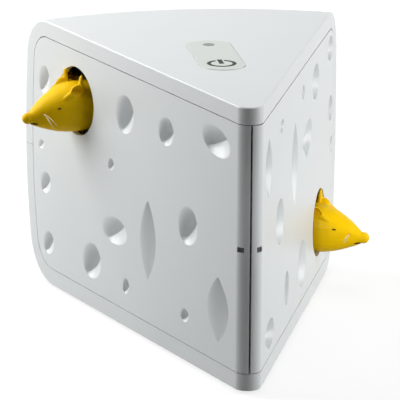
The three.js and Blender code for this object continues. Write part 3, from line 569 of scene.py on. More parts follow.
# %% [markdown]
# ## The dents
# A dent falls gently from one side, turns up at a crisp valley and rises steeply on the other side.
# That is why half of each one looks dark and the rest bright. Each is cut with its own tool: a fine
# grid, the size of the dent, is pushed in by its depth, and its rim is pulled outward to make a solid.
# Pushing the points in by a formula stands in for a proportional edit, which can't turn a crisp valley.
# The dents go deeper than the panel is thick, so each one first gets a thin lining behind it.

# %% One dent
DEEPEST = 5.2
DENT_WALL = 1.2
SKIM = 0.015
DENT_ROWS = 36
LINING_SIZE = 0.97
LINING_BITE = 0.2
TOOL_HEIGHT = 6
RIM_POWER = 0.8
# Depth as a share of the smaller side, and how much of it is lost per millimetre toward the rind.
ROUND_SHARE = {-1: 0.44, 1: 0.34}
ROUND_FADE = {-1: 0.001, 1: 0}
EYE_SHARE = {-1: 0.34, 1: 0.3}
# Direction of the fall in degrees below level, place of the valley, power of the falling and of the
# rising side, for the round dents and for those shaped like an eye, on the left and on the right.
ROUND_DENT = {-1: (36, 0.04, 2.1, 1.2), 1: (0, 0.4, 1.3, 1.1)}
EYE_DENT = {-1: (0, 0.6, 1.5, 1.1), 1: (0, 0.2, 1.3, 1.3)}


def dent_depth(hand, s, width, height, eye):
    """The round dents of the left side get shallower toward the rind."""
    share = EYE_SHARE[hand] if eye else ROUND_SHARE[hand] - ROUND_FADE[hand] * s
    return min(DEEPEST, share * min(width, height))


def dent_tool(hand, s, z, width, height, lean=0, eye=False, lining=False):
    """A solid shaped like the hollow of a dent, or the thin lining behind it. Rows of its grid
    follow the rim and the valley."""
    bpy.ops.object.select_all(action="DESELECT")
    bpy.ops.mesh.primitive_grid_add(x_subdivisions=DENT_ROWS, y_subdivisions=DENT_ROWS, size=2)
    tool = bpy.context.object
    size = LINING_SIZE if lining else 1
    face = -DENT_WALL if lining else SKIM
    depth = dent_depth(hand, s, width, height, eye)
    fall, valley, falling, rising = (EYE_DENT if eye else ROUND_DENT)[hand]
    fall = math.radians(fall)
    lean = math.radians(lean)
    for vertex in tool.data.vertices:
        row, column, _ = vertex.co
        across = row if eye else math.sin(row * math.pi / 2)
        reach = 1 - across**2 if eye else math.cos(row * math.pi / 2)
        if column <= 0:
            along = reach * (valley * (1 + column) + column)
            share = (1 + column) ** falling
        else:
            along = reach * (valley + (1 - valley) * column)
            share = (1 - column) ** rising
        rightward = along * math.cos(fall) + across * math.sin(fall)
        upward = across * math.cos(fall) - along * math.sin(fall)
        wide = hand * rightward * width / 2 * size
        tall = upward * height / 2 * size
        vertex.co = Vector(
            (
                face - depth * share * max(0, reach) ** RIM_POWER,
                wide * math.cos(lean) - tall * math.sin(lean),
                wide * math.sin(lean) + tall * math.cos(lean),
            )
        ) * MM
    edit_all(tool)
    bpy.ops.mesh.remove_doubles(threshold=0.02 * MM)
    thickness = DENT_WALL + LINING_BITE if lining else TOOL_HEIGHT
    bpy.ops.mesh.extrude_region_move(TRANSFORM_OT_translate={"value": (thickness * MM, 0, 0)})
    leave_edit()
    return set_on_face(tool, hand, s, 0, z)


# %% The dents of both panels: place along the face, height, width, height of the dent, lean
DENTS = {
    -1: [
        (247, 118, 14, 17),
        (250.9, 79.7, 7.8, 5.8),
        (147.8, 119.6, 22.6, 21.7, -10),
        (99.5, 120.9, 18, 16),
        (164.1, 88, 7.7, 7.2),
        (245.5, 58.6, 14, 13),
        (43.7, 128.5, 32, 16, 10),
        (159.8, 51.6, 31, 15.6),
        (120.1, 55.8, 19, 45, 0, True),
        (74.4, 75.3, 22.5, 21.6),
        (187.4, 27.5, 23, 21),
        (241.9, 24.2, 13.6, 14),
        (146, 23.6, 8, 9.4),
        (77.4, 25.3, 10, 7.7),
        (40.3, 38.1, 24, 36, 0, True),
    ],
    1: [
        (245.4, 131.2, 19, 14),
        (193.1, 124.2, 25, 20),
        (150.2, 128.1, 8.4, 8),
        (248.9, 95.8, 15, 15),
        (253.4, 73.4, 9.6, 10),
        (79.7, 126.4, 12, 7.4),
        (123.8, 94.9, 22, 46, 0, True),
        (38.6, 113.7, 22, 32, 0, True),
        (164.8, 98, 35, 19, 16),
        (76, 75.1, 26, 25),
        (152.9, 30.3, 28, 27),
        (101, 31.4, 13.5, 19),
        (46.2, 22, 30, 16),
    ],
}
for hand, panel in panels.items():
    for dent in DENTS[hand]:
        combine(panel, dent_tool(hand, *dent, lining=True), "UNION")
    for dent in DENTS[hand]:
        combine(panel, dent_tool(hand, *dent), "DIFFERENCE")
    smooth(panel, 35)
finish_piece(panels[-1], "left_cheese_panel", "root", "white_plastic", "left_side_panel")
finish_piece(panels[1], "right_cheese_panel", "root", "white_plastic", "right_side_panel")

# %% [markdown]
# ## The mice
# Each head is one soft moulded piece that rides on its shaft. Its body is a ring of points that is
# drawn once and then extruded, scaled and moved from station to station, as a boat is drawn by its
# frames. The nose and the ears start as spheres. A remesh melts them into one skin with soft joints,
# as a mould does.

# %% The frames of a head
PIVOT_BEHIND = 28
PIVOT_DEPTH = 7.5
REST_SWING = {-1: 2, 1: 8}
HEAD_ASIDE = 24.75
HEAD_REACH = 40.5
HEAD_BACK = 6
NOSE_RADIUS = 3.2
NOSE_DROP = 7.3
SQUARENESS = 2.4
HEAD_FRAMES = [
    (-6, 28.4, 10, 17),
    (-5.2, 28.4, 10, 17),
    (3.6, 28.2, 10, 17.1),
    (10, 27.4, 9.9, 17.3),
    (15, 25.6, 9.1, 17),
    (20.2, 22.6, 7.1, 16.2),
    (25, 18.6, 4.3, 14.9),
    (29.5, 14, 1.4, 13.4),
    (33, 9.8, -1.6, 12.1),
    (35.6, 6.8, -3.9, 10.9),
    (37.5, 4.6, -5.2, 9.8),
]


def set_at_pivot(piece, hand):
    """Moves a piece, made round the origin with x outward and y rearward, to its mouse's shaft."""
    swing = -hand * (HALF_APEX + math.radians(REST_SWING[hand]))
    s, z = HOLES[hand]
    shaft = on_face(hand, s + PIVOT_BEHIND, -PIVOT_DEPTH, z)
    only(piece)
    mirror = Matrix.Diagonal((hand, 1, 1, 1))
    piece.matrix_world = Matrix.Translation(shaft) @ Matrix.Rotation(swing, 4, "Z") @ mirror
    bpy.ops.object.transform_apply(location=True, rotation=True, scale=True)
    edit_all(piece)
    bpy.ops.mesh.normals_make_consistent(inside=False)
    leave_edit()
    return piece


def frame_point(turn, width, top, bottom):
    """A point of a frame, which is an oval with slightly squared corners."""
    power = 2 / SQUARENESS
    across = math.copysign(abs(math.cos(turn)) ** power, math.cos(turn))
    upward = math.copysign(abs(math.sin(turn)) ** power, math.sin(turn))
    height = (top + bottom) / 2
    return across * width / 2, (top - bottom) / 2 + height * upward


def head_body(sides=28):
    """The head from its flat back to the tip of the snout."""
    x, width, top, bottom = HEAD_FRAMES[0]
    ring = [frame_point(2 * math.pi * i / sides, width, top, bottom) for i in range(sides)]
    body = draw("head", [Vector((x, y - HEAD_ASIDE, z)) * MM for y, z in ring])
    edit_all(body)
    for here, there in zip(HEAD_FRAMES, HEAD_FRAMES[1:]):
        x0, width0, top0, bottom0 = here
        x1, width1, top1, bottom1 = there
        bpy.ops.mesh.extrude_region_move(TRANSFORM_OT_translate={"value": ((x1 - x0) * MM, 0, 0)})
        middle = Vector((x1, -HEAD_ASIDE, (top0 - bottom0) / 2)) * MM
        scale = (1, width1 / width0, (top1 + bottom1) / (top0 + bottom0))
        bpy.ops.transform.resize(value=scale, center_override=middle)
        rise = ((top1 - bottom1) - (top0 - bottom0)) / 2
        bpy.ops.transform.translate(value=(0, 0, rise * MM))
    bpy.ops.mesh.select_all(action="SELECT")
    bpy.ops.mesh.normals_make_consistent(inside=False)
    leave_edit()
    return body


def ball(x, y, z, size, lean=(0, 0, 0), segments=32):
    """A stretched sphere in the head's own place, with half sizes in x, y and z."""
    bpy.ops.object.select_all(action="DESELECT")
    bpy.ops.mesh.primitive_uv_sphere_add(
        segments=segments,
        ring_count=segments // 2,
        radius=MM,
        location=Vector((x, y, z)) * MM,
        rotation=[math.radians(angle) for angle in lean],
        scale=size,
    )
    bpy.ops.object.transform_apply(location=True, rotation=True, scale=True)
    return bpy.context.object


# %% [markdown]
# ## Ears and arms
# An ear is a cup with a hollow, which runs out forward along the cheek to a point and upward to a thin
# tip. It is joined from three stretched balls. Behind its hole each head has an arm and a hub, which
# fits on the steel shaft of the drive. Both heads are copies of one, since both come from one mould.

# %% Ears, nose, mouth, arm and whisker holes
EAR_ACROSS = 9.6
EAR_OUT = 10.6
EAR_UP = 7.2
EAR_HALF = (4.6, 2.9, 4)
EAR_TURN = (9, 20, 0)
LEAF_OUT = 15.6
LEAF_UP = 5
LEAF_HALF = (5.8, 1.6, 1.9)
LEAF_TURN = (6, 34, 9)
TIP_OUT = 8.9
TIP_ACROSS = 8.6
TIP_UP = 16.3
TIP_HALF = (1.2, 2, 6)
TIP_TURN = (10, -4, 10)
HOLLOW_HALF = (3.4, 3.3, 2.9)
HOLLOW_TURN = (0, 30, 12)
MOUTH_HALF = (2.4, 7, 0.6)
MOUTH_TURN = (0, -6, 0)
WHISKER_HOLE = (0.9, 1.2, 0.6)
ARM_LOW = (-5, -HEAD_ASIDE, -9.5)
ARM_HIGH = (3, 0, 8)
HUB_RADIUS = 4
HUB_BELOW = 12
HUB_ABOVE = 9
SHAFT_BORE = 1.8
VOXEL = 0.36
MOUTH_BACK = 6.4
MOUTH_DROP = 10.2
WHISKERS_BACK = 9.8
WHISKERS_DROP = 4.2


def mirrored_lean(across, turn):
    """The same lean on the other side of the head."""
    return (-across * turn[0], turn[1], -across * turn[2])


def ear(across):
    """A cup on the side of the head that runs out forward to a point and upward to a tip."""
    y = across * EAR_ACROSS - HEAD_ASIDE
    cup = ball(EAR_OUT, y, EAR_UP, EAR_HALF, mirrored_lean(across, EAR_TURN))
    leaf = ball(LEAF_OUT, y, LEAF_UP, LEAF_HALF, mirrored_lean(across, LEAF_TURN))
    combine(cup, leaf, "UNION")
    y = across * TIP_ACROSS - HEAD_ASIDE
    tip = ball(TIP_OUT, y, TIP_UP - TIP_HALF[2], TIP_HALF, mirrored_lean(across, TIP_TURN))
    combine(cup, tip, "UNION")
    y = across * (EAR_ACROSS + 2) - HEAD_ASIDE
    hollow = ball(EAR_OUT + 1.8, y, EAR_UP + 0.3, HOLLOW_HALF, mirrored_lean(across, HOLLOW_TURN))
    return combine(cup, hollow, "DIFFERENCE")


def snout_half(x, z):
    """Half the width of the head at a distance from the shaft and a height."""
    for (x0, *low), (x1, *high) in zip(HEAD_FRAMES, HEAD_FRAMES[1:]):
        if x0 <= x <= x1:
            width, top, bottom = [a + (b - a) * (x - x0) / (x1 - x0) for a, b in zip(low, high)]
    rise = abs(z - (top - bottom) / 2) / ((top + bottom) / 2)
    return width / 2 * (1 - rise**SQUARENESS) ** (1 / SQUARENESS)


def round_shaft(piece):
    """Moves a piece from the origin of the case to the scene's, where a shaft stands for a while."""
    piece.location = -place(0, 0, 0)
    only(piece)
    bpy.ops.object.transform_apply(location=True)
    return piece


def mouse_head():
    """A whole head on its arm, with its shaft upright at the origin."""
    head = head_body()
    nose = ball(HEAD_REACH - NOSE_RADIUS, -HEAD_ASIDE, -NOSE_DROP, [NOSE_RADIUS] * 3)
    combine(head, nose, "UNION")
    for across in (-1, 1):
        combine(head, ear(across), "UNION")
    mouth = ball(HEAD_REACH - MOUTH_BACK, -HEAD_ASIDE, -MOUTH_DROP, MOUTH_HALF, MOUTH_TURN)
    combine(head, mouth, "DIFFERENCE")
    combine(head, round_shaft(block(ARM_LOW, ARM_HIGH)), "UNION")
    combine(head, round_shaft(bar(HUB_RADIUS, -HUB_BELOW, HUB_ABOVE, 0, 0)), "UNION")
    modifier = head.modifiers.new("one skin", "REMESH")
    modifier.mode = "VOXEL"
    modifier.voxel_size = VOXEL * MM
    modifier = head.modifiers.new("soft joints", "SMOOTH")
    modifier.factor = 0.6
    modifier.iterations = 5
    apply_modifiers(head)
    bore = bar(SHAFT_BORE, -2 * HUB_BELOW, 2 * HUB_ABOVE, 0, 0)
    combine(head, round_shaft(bore), "DIFFERENCE")
    for across in (-1, 1):
        x = HEAD_REACH - WHISKERS_BACK
        y = across * snout_half(x, -WHISKERS_DROP) - HEAD_ASIDE
        combine(head, ball(x, y, -WHISKERS_DROP, WHISKER_HOLE, segments=16), "DIFFERENCE")
    return head


# %% Two heads, on their arms
MOUSE_BODY = {-1: "left_mouse", 1: "right_mouse"}
master = mouse_head()
for hand in (-1, 1):
    head = set_at_pivot(copy_of(master, "head"), hand)
    only(head)
    bpy.ops.object.shade_smooth_by_angle(angle=math.radians(50))
    name = SIDE[hand] + "_yellow_mouse"
    finish_piece(head, name, MOUSE_BODY[hand], "mouse_yellow", SIDE[hand] + "_mouse_head")
bpy.data.objects.remove(master, do_unlink=True)

# %% [markdown]
# ## Mouths and eyes
# The shade in the slit of the mouth is painted: a flat dark bean fills the slit. The eyes are small and
# lie almost flush in the cheeks. Each is a dark bean, painted shade of the eye's dimple, whose inner half
# is cut away, since it is buried in the head.

# %% Mouths
LIP_LENGTH = 1.9
LIP_HEIGHT = 0.9
LIP_SUNK = 0.2
for hand in (-1, 1):
    x = HEAD_REACH - MOUTH_BACK
    half = snout_half(x, -MOUTH_DROP + 1) - LIP_SUNK
    # This dark bean is painted shade of the mouth's slit.
    lip = ball(x - 0.4, -HEAD_ASIDE, -MOUTH_DROP, (LIP_LENGTH, half, LIP_HEIGHT))
    smooth(set_at_pivot(lip, hand), 60)
    finish_piece(lip, SIDE[hand] + "_painted_mouth", MOUSE_BODY[hand], "black_plastic")

# %% Eyes
EYE_BACK = 18
EYE_DROP = 1.4
EYE_HALF = (1.3, 0.7, 0.55)
EYE_TILT = 8
EYE_TURN = 24
EYE_SUNK = 0.35
EYE_KEPT = 0.3


def eye_piece(across):
    """A bean of plastic whose inner half is cut away."""
    x = HEAD_REACH - EYE_BACK
    y = across * (snout_half(x, -EYE_DROP) - EYE_SUNK) - HEAD_ASIDE
    eye = ball(x, y, -EYE_DROP, EYE_HALF, (0, EYE_TILT, -across * EYE_TURN), 24)
    edit_all(eye)
    bpy.ops.mesh.bisect(
        plane_co=Vector((x, y - across * EYE_KEPT, 0)) * MM,
        plane_no=(0, -across, 0),
        clear_outer=True,
        use_fill=True,
    )
    leave_edit()
    return eye


for hand in (-1, 1):
    for across, end in ((-1, "front"), (1, "rear")):
        # Each eye bead is painted shade of the eye's dimple.
        eye = set_at_pivot(eye_piece(across), hand)
        smooth(eye, 60)
        node = f"{SIDE[hand]}_mouse_{end}_eye"
        finish_piece(eye, f"{SIDE[hand]}_{end}_bead_eye", MOUSE_BODY[hand], "black_plastic", node)

# %% [markdown]
# ## Whiskers
# The whiskers are tufts of nylon bristle, which come out of a hole on each side of the snout, stand out
# sideways and droop. Each bristle is drawn as a line and given its thickness as a curve. The tufts on
# the right are shorter, so that they stay clear of the case when the mouse swings in.

# %% Whiskers
BRISTLE_RADIUS = 0.13
BRISTLE_ROOT = 0.6
TUFT_LENGTH = {-1: 1, 1: 0.6}
# How far each bristle reaches sideways, backward and down.
BRISTLES = [(9, 2.2, 7), (8, 1, 5.4), (10, 3.4, 5), (7.5, 0, 3.2), (10, 1.4, 2.4)]


def bristle(across, sideways, backward, droop, steps=8):
    """One bristle, drawn from its hole: it starts sideways and bends back and down."""
    x = HEAD_REACH - WHISKERS_BACK
    y = across * (snout_half(x, -WHISKERS_DROP) - BRISTLE_ROOT) - HEAD_ASIDE
    points = []
    for step in range(steps + 1):
        share = step / steps
        out = across * sideways * share
        back = backward * (0.4 * share + 0.6 * share**2)
        points.append(Vector((x - back, y + out, -WHISKERS_DROP - droop * share**2)) * MM)
    line = draw("bristle", points, closed=False)
    only(line)
    bpy.ops.object.convert(target="CURVE")
    line = bpy.context.object
    line.data.bevel_depth = BRISTLE_RADIUS * MM
    line.data.bevel_resolution = 1
    line.data.use_fill_caps = True
    bpy.ops.object.convert(target="MESH")
    return bpy.context.object


for hand in (-1, 1):
    for across, end in ((-1, "front"), (1, "rear")):
        tuft = [bristle(across, *[size * TUFT_LENGTH[hand] for size in sizes]) for sizes in BRISTLES]
        bpy.ops.object.select_all(action="DESELECT")
        for line in tuft:
            line.select_set(True)
        bpy.context.view_layer.objects.active = tuft[0]
        bpy.ops.object.join()
        whiskers = set_at_pivot(tuft[0], hand)
        only(whiskers)
        bpy.ops.object.shade_smooth()
        finish_piece(
            whiskers, f"{SIDE[hand]}_{end}_whiskers", MOUSE_BODY[hand], "clear_plastic"
        )

# %% [markdown]
# ## The control pad
# The pad is one light grey button that sinks by a millimetre. Its edge is rounded, and the guide that
# holds it under the top comes from the CAD node. The power sign is a thin print, and the round window
# in front of the lamp is a smoky disc.

# %% The pad, its print and its window
PAD_PROUD = 0.26
PAD_TOP = CASE_HEIGHT + PAD_PROUD
POWER_Y = 113.9
POWER_RADIUS = 7.95
POWER_LINE = 2.1
POWER_OPENING = math.radians(19)
POWER_BAR = (-0.8, 9.1, 2.6)
LED_Y = 158.9
LED_RADIUS = 3.3
INK = 0.04
INK_SUNK = 0.1
PAD_GROW = 0.15
PAD_ROUND = 0.25
WINDOW_ROUND = 0.3
WINDOW_GAP = 0.1
WINDOW_SUNK = 0.05
GUIDE_DEPTH = 3


def below_top():
    """The room under the top, where the CAD node's own form is kept."""
    return block((-60, 0, 0), (60, 200, CASE_HEIGHT - 1))


pad = pad_prism(PAD_GROW, CASE_HEIGHT - SHELL_WALL, PAD_TOP)
round_edges(pad, PAD_ROUND, angle=60, segments=4)
combine(pad, combine(merged_copy("power_button"), below_top(), "INTERSECT"), "UNION")
window_seat = bar(
    LED_RADIUS + WINDOW_GAP, CASE_HEIGHT - SHELL_WALL - GUIDE_DEPTH, PAD_TOP + OVERRUN, 0, LED_Y
)
combine(pad, window_seat, "DIFFERENCE")
smooth(pad)
finish_piece(pad, "grey_control_pad", "control_pad", "pad_grey", "power_button")

window = bar(LED_RADIUS, CASE_HEIGHT - SHELL_WALL, PAD_TOP - WINDOW_SUNK, 0, LED_Y)
round_edges(window, WINDOW_ROUND, angle=60, segments=3)
combine(window, combine(merged_copy("led_window"), below_top(), "INTERSECT"), "UNION")
smooth(window)
finish_piece(window, "lamp_window", "control_pad", "clear_plastic", "led_window")


def print_on_pad(name, outline):
    """A printed shape, which stands a hair above the pad."""
    face = draw(name, [place(x, POWER_Y + y, PAD_TOP - INK_SUNK) for x, y in outline])
    sign = raise_face(face, INK_SUNK + INK)
    return finish_piece(sign, name, "control_pad", "black_plastic")


def arc(radius, start, end, steps=48):
    angles = [start + (end - start) * step / steps for step in range(steps + 1)]
    return [(radius * math.cos(angle), radius * math.sin(angle)) for angle in angles]


start = math.pi / 2 + POWER_OPENING
end = math.pi / 2 + 2 * math.pi - POWER_OPENING
ring = arc(POWER_RADIUS, start, end) + arc(POWER_RADIUS - POWER_LINE, end, start)
low, high, width = POWER_BAR
sides = [(-width / 2, low), (width / 2, low), (width / 2, high), (-width / 2, high)]
print_on_pad("power_sign_ring", ring)
print_on_pad("power_sign_bar", sides)

# %% [markdown]
# ## Feet
# Three soft feet stand in shallow recesses. Each is a disc with a rounded rim and a dished sole, which
# grips a smooth floor.

# %% Three feet
FOOT_HEIGHT = 1.5
FOOT_ROUND = 0.35
SOLE_RIM = 1.4
SOLE_SLOPE = 0.5
SOLE_DISH = 0.4
for (x, y), which in zip(FOOT_PLACES, ("front", "left", "right")):
    foot = bar(FOOT_RADIUS, -FOOT_HEIGHT, FOOT_RECESS, x, y)
    edit_all(foot)
    bpy.ops.mesh.select_mode(type="FACE")
    bpy.ops.mesh.select_all(action="DESELECT")
    leave_edit()
    for face in foot.data.polygons:
        face.select = face.normal.z < -0.9
    bpy.ops.object.mode_set(mode="EDIT")
    bpy.ops.mesh.inset(thickness=SOLE_RIM * MM)
    bpy.ops.mesh.inset(thickness=SOLE_SLOPE * MM, depth=-SOLE_DISH * MM)
    bpy.ops.mesh.select_mode(type="VERT")
    leave_edit()
    round_edges(foot, FOOT_ROUND, angle=60, segments=3)
    smooth(foot)
    finish_piece(foot, which + "_rubber_foot", "root", "rubber", which + "_foot")

bpy.data.objects.remove(case, do_unlink=True)

# %% [markdown]
# ## Materials
# Each finish is named for what the real one is. Its colour is an sRGB value, and its pattern is sized
# in millimetres on Object coordinates, which stay with a piece as it moves.

# %% Colours and nodes
def linear(hex_colour):
    """An sRGB colour such as #e6e8e8 in the linear values that a shader takes."""
    values = [int(hex_colour[i : i + 2], 16) / 255 for i in (1, 3, 5)]
    return [v / 12.92 if v <= 0.04045 else ((v + 0.055) / 1.055) ** 2.4 for v in values] + [1]


def add_node(tree, kind, settings=None, links=None):
    """Adds a node, sets its properties or inputs, and links its inputs to other nodes' outputs."""
    made = tree.nodes.new(kind)
    for name, value in (settings or {}).items():
        if isinstance(name, int) or name in made.inputs:
            made.inputs[name].default_value = value
        else:
            setattr(made, name, value)
    for name, output in (links or {}).items():
        tree.links.new(output, made.inputs[name])
    return made


def new_material(name, colour, roughness, **sockets):
    """A material with its main shader, which is returned with its node tree."""
    material = bpy.data.materials.new(name)
    material.use_nodes = True
    shader = material.node_tree.nodes["Principled BSDF"]
    shader.inputs["Base Color"].default_value = linear(colour)
    shader.inputs["Roughness"].default_value = roughness
    for socket, value in sockets.items():
        shader.inputs[socket.replace("_", " ")].default_value = value
    return material, material.node_tree, shader


def mottled(tree, shader, colour, other, size, detail=3):
    """Lets the colour drift between two values in patches of a size in millimetres."""
    coordinates = add_node(tree, "ShaderNodeTexCoord")
    noise = add_node(
        tree,
        "ShaderNodeTexNoise",
        {"Scale": 1 / (size * MM), "Detail": detail, "Roughness": 0.5},
        {"Vector": coordinates.outputs["Object"]},
    )
    drift = add_node(tree, "ShaderNodeMix", {"data_type": "RGBA"})
    drift.inputs["A"].default_value = linear(colour)
    drift.inputs["B"].default_value = linear(other)
    tree.links.new(noise.outputs["Fac"], drift.inputs["Factor"])
    tree.links.new(drift.outputs["Result"], shader.inputs["Base Color"])
    return coordinates


def grained(tree, shader, coordinates, size, depth, rough):
    """Raises a fine grain of a size and depth in millimetres, and lets the gloss follow it."""
    grain = add_node(
        tree,
        "ShaderNodeTexNoise",
        {"Scale": 1 / (size * MM), "Detail": 2, "Roughness": 0.5},
        {"Vector": coordinates.outputs["Object"]},
    )
    if depth:
        bump = add_node(
            tree, "ShaderNodeBump", {"Distance": depth * MM}, {"Height": grain.outputs["Fac"]}
        )
        tree.links.new(bump.outputs["Normal"], shader.inputs["Normal"])
    gloss = add_node(
        tree,
        "ShaderNodeMapRange",
        {"To Min": rough[0], "To Max": rough[1]},
        {"Value": grain.outputs["Fac"]},
    )
    tree.links.new(gloss.outputs["Result"], shader.inputs["Roughness"])


def finish(name, colour, other, patch, grain, depth, roughness, **sockets):
    """A finish with a drifting colour and a fine grain, which has no relief where its depth is 0."""
    middle = sum(roughness) / 2
    material, tree, shader = new_material(name, colour, middle, **sockets)
    coordinates = mottled(tree, shader, colour, other, patch)
    grained(tree, shader, coordinates, grain, depth, roughness)
    return material


# %% [markdown]
# ## Plastics
# The case is white ABS from a polished steel mould, and each other part has the plain plastic of its
# trade. The patterns are broad drifts of colour and gloss. The real grain is a tenth of a millimetre,
# too fine to show, so every grain here is several times coarser.

# %% The plastics
FINISHES = {
    # A soft gloss with faint cool drifts, where the melt ran thicker. It has no relief, which keeps the
    # reflections clean.
    "white_plastic": finish(
        "white_moulded_abs", "#e7ebeb", "#e3e8e8", 60, 30, 0, (0.34, 0.4), IOR=1.5
    ),
    # An etched satin grey that takes no clear reflection and sets the pad off from the top.
    "pad_grey": finish("grey_satin_abs", "#dce2dd", "#d7ddd8", 20, 1.2, 0.01, (0.42, 0.5), IOR=1.53),
    # A deep yellow under a low, broad sheen, as soft vinyl has, with warmer patches as wide as a cheek.
    "mouse_yellow": finish(
        "yellow_soft_pvc", "#ffd000", "#fcc900", 9, 1.5, 0.012, (0.4, 0.5), Specular_IOR_Level=0.1
    ),
    # The glass in it leaves the black dull and faintly streaked, so that a slot reads as a dark dot.
    "black_plastic": finish("black_glass_filled_nylon", "#1d1d1f", "#26262a", 6, 0.8, 0.03, (0.5, 0.65)),
    # A warm ivory with a waxy sheen, which tells the gears from the white case.
    "ivory_plastic": finish("natural_acetal", "#e8e0cc", "#dfd6bf", 8, 0.9, 0.01, (0.32, 0.42), IOR=1.48),
    # Zinc gives screws, axles and springs a cool grey with a faint spangle.
    "steel": finish("zinc_plated_steel", "#b9bdc2", "#a6abb2", 3, 0.5, 0.01, (0.25, 0.38), Metallic=1),
    # A drawn can mirrors softly, in long drifts.
    "motor_can": finish(
        "drawn_nickel_plated_steel", "#c3c6c8", "#b2b6b9", 7, 0.7, 0.01, (0.22, 0.32), Metallic=1
    ),
    # Brown specks stand for the pores of sintered bronze, and dull it.
    "bronze": finish("sintered_bronze", "#a8763f", "#8a5f30", 0.9, 0.35, 0.02, (0.4, 0.6), Metallic=1),
    # Glossy green mask over glass cloth, lighter where the cloth lies close under it.
    "board_green": finish("green_fr4_board", "#1c5a34", "#23683d", 2.4, 0.6, 0.01, (0.28, 0.4), IOR=1.5),
    # Dark shrink film, glossy and slightly uneven where it was pulled round the cell.
    "cell_wrap": finish(
        "shrink_wrapped_cell", "#3f4449", "#4a5056", 14, 2, 0.02, (0.22, 0.34), IOR=1.5
    ),
    # Rubber swallows light: matt, nearly black, with a fine crumb.
    "rubber": finish("black_nitrile_rubber", "#242425", "#2e2e30", 3, 0.5, 0.03, (0.7, 0.85), IOR=1.52),
    # Smoky acrylic, which looks grey until the lamp behind it is lit.
    "clear_plastic": finish(
        "smoky_pmma", "#838985", "#7b817e", 5, 1.2, 0, (0.2, 0.3), Specular_IOR_Level=0.2
    ),
}
# Painted shade: a matt brown that stands for the shade in the slit of each mouth and in the dimple of
# each eye, so that they look like small dark slits.
slit_shade_paint = finish(
    "brown_painted_shade", "#6a4a06", "#553a05", 1.2, 0.4, 0, (0.4, 0.5), Specular_IOR_Level=0.15
)
# Screen-printed ink: a flat, nearly black grey that is a little thinner here and there.
sign_ink = finish(
    "grey_screen_print_ink", "#2f3433", "#3a403f", 2, 0.4, 0, (0.5, 0.6), Specular_IOR_Level=0.12
)
# Pale bristles, which catch the light as fine bright lines.
bristle_nylon = finish("nylon_bristle", "#efe3b6", "#e2d29c", 2, 0.5, 0.004, (0.3, 0.4), IOR=1.53)

# %% [markdown]
# A CAD node's own material is named for its slot, and so is each new piece's slot. Either name finds
# the finish. The painted shade of eyes and mouths, the ink and the bristles have finishes of their own.

# %% Every piece gets its finish
OWN_FINISHES = {
    "bead_eye": slit_shade_paint,
    "painted_mouth": slit_shade_paint,
    "power_sign": sign_ink,
    "whiskers": bristle_nylon,
}


def dress(piece, material):
    """Gives a piece one material in place of any it had."""
    piece.data.materials.clear()
    piece.data.materials.append(material)


for node in frame["nodes"].values():
    dress(node, FINISHES[node.data.materials[0].name.split(".")[0]])
for piece in list(bpy.data.objects):
    if piece.get("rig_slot"):
        dress(piece, FINISHES[piece["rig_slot"]])
    for word, own_finish in OWN_FINISHES.items():
        if word in piece.name:
            dress(piece, own_finish)
print(len(frame["nodes"]), "CAD nodes dressed")

# %% [markdown]
# ## The camera
# It stands some two metres away and a little to the left, and looks down by 15 degrees, as the
# photograph does.

# %% The camera
AZIMUTH = math.radians(-8.86)
ELEVATION = math.radians(15.12)
ROLL = math.radians(0.39)
DISTANCE = 2126.5
SIDEWAYS = -16.66
UPWARD = 10.12
LOOKED_AT = (0, 77.41, 76)
FOCAL_LENGTH = 361
SENSOR_WIDTH = 36
FARTHEST_SEEN = 20

back = Vector(
    (
        math.sin(AZIMUTH) * math.cos(ELEVATION),
        -math.cos(AZIMUTH) * math.cos(ELEVATION),
        math.sin(ELEVATION),
    )
)
level_right = (-back).cross(Vector((0, 0, 1))).normalized()
level_up = level_right.cross(-back)
right = level_right * math.cos(ROLL) + level_up * math.sin(ROLL)
up = level_up * math.cos(ROLL) - level_right * math.sin(ROLL)
lens = bpy.data.cameras.new("camera")
lens.lens = FOCAL_LENGTH
lens.sensor_width = SENSOR_WIDTH
lens.clip_end = FARTHEST_SEEN
camera = bpy.data.objects.new("camera", lens)
bpy.context.scene.collection.objects.link(camera)
stand = place(*LOOKED_AT) + (back * DISTANCE + right * SIDEWAYS + up * UPWARD) * MM
turn = Matrix((right, up, back)).transposed().to_4x4()
camera.matrix_world = Matrix.Translation(stand) @ turn
bpy.context.scene.camera = camera
print("camera at", [round(v, 3) for v in stand])

# %% [markdown]
# ## Light
# The toy was photographed in a white studio. One soft box stands behind it on the left and grazes the
# left side, so that every dent shows. Another lights the right side, and a third the top. Little
# light comes from the front, which leaves the rounded point dark. In the photograph the right mouse
# is as bright as if it were lit from the front, so a narrow lamp grazes past the right side onto it.


# %% Lamps
def lamp_toward(kind, name, watts, direction, distance, aim):
    """A lamp at a distance in a direction from the point of the case that it looks at."""
    bpy.ops.object.select_all(action="DESELECT")
    bpy.ops.object.light_add(type=kind, location=place(*aim) + direction * distance)
    lamp = bpy.context.object
    lamp.name = name
    lamp.data.energy = watts
    lamp.rotation_euler = direction.to_track_quat("Z", "Y").to_euler()
    return lamp


def soft_box(name, size, watts, azimuth, elevation, distance, aim=(0, 150, 76)):
    """A square lamp. Its azimuth is 0 in front and 90 on the right."""
    azimuth = math.radians(azimuth)
    elevation = math.radians(elevation)
    level = Vector((math.sin(azimuth), -math.cos(azimuth), 0))
    direction = level * math.cos(elevation) + Vector((0, 0, math.sin(elevation)))
    lamp_toward("AREA", name, watts, direction, distance, aim).data.size = size


soft_box("left_soft_box", 0.62, 6.2, -121, 28, 0.76)
soft_box("right_soft_box", 0.6, 7.2, 80, 10, 1.0)
soft_box("top_soft_box", 0.7, 3.6, -170, 86, 1.0, aim=(0, 30, 76))

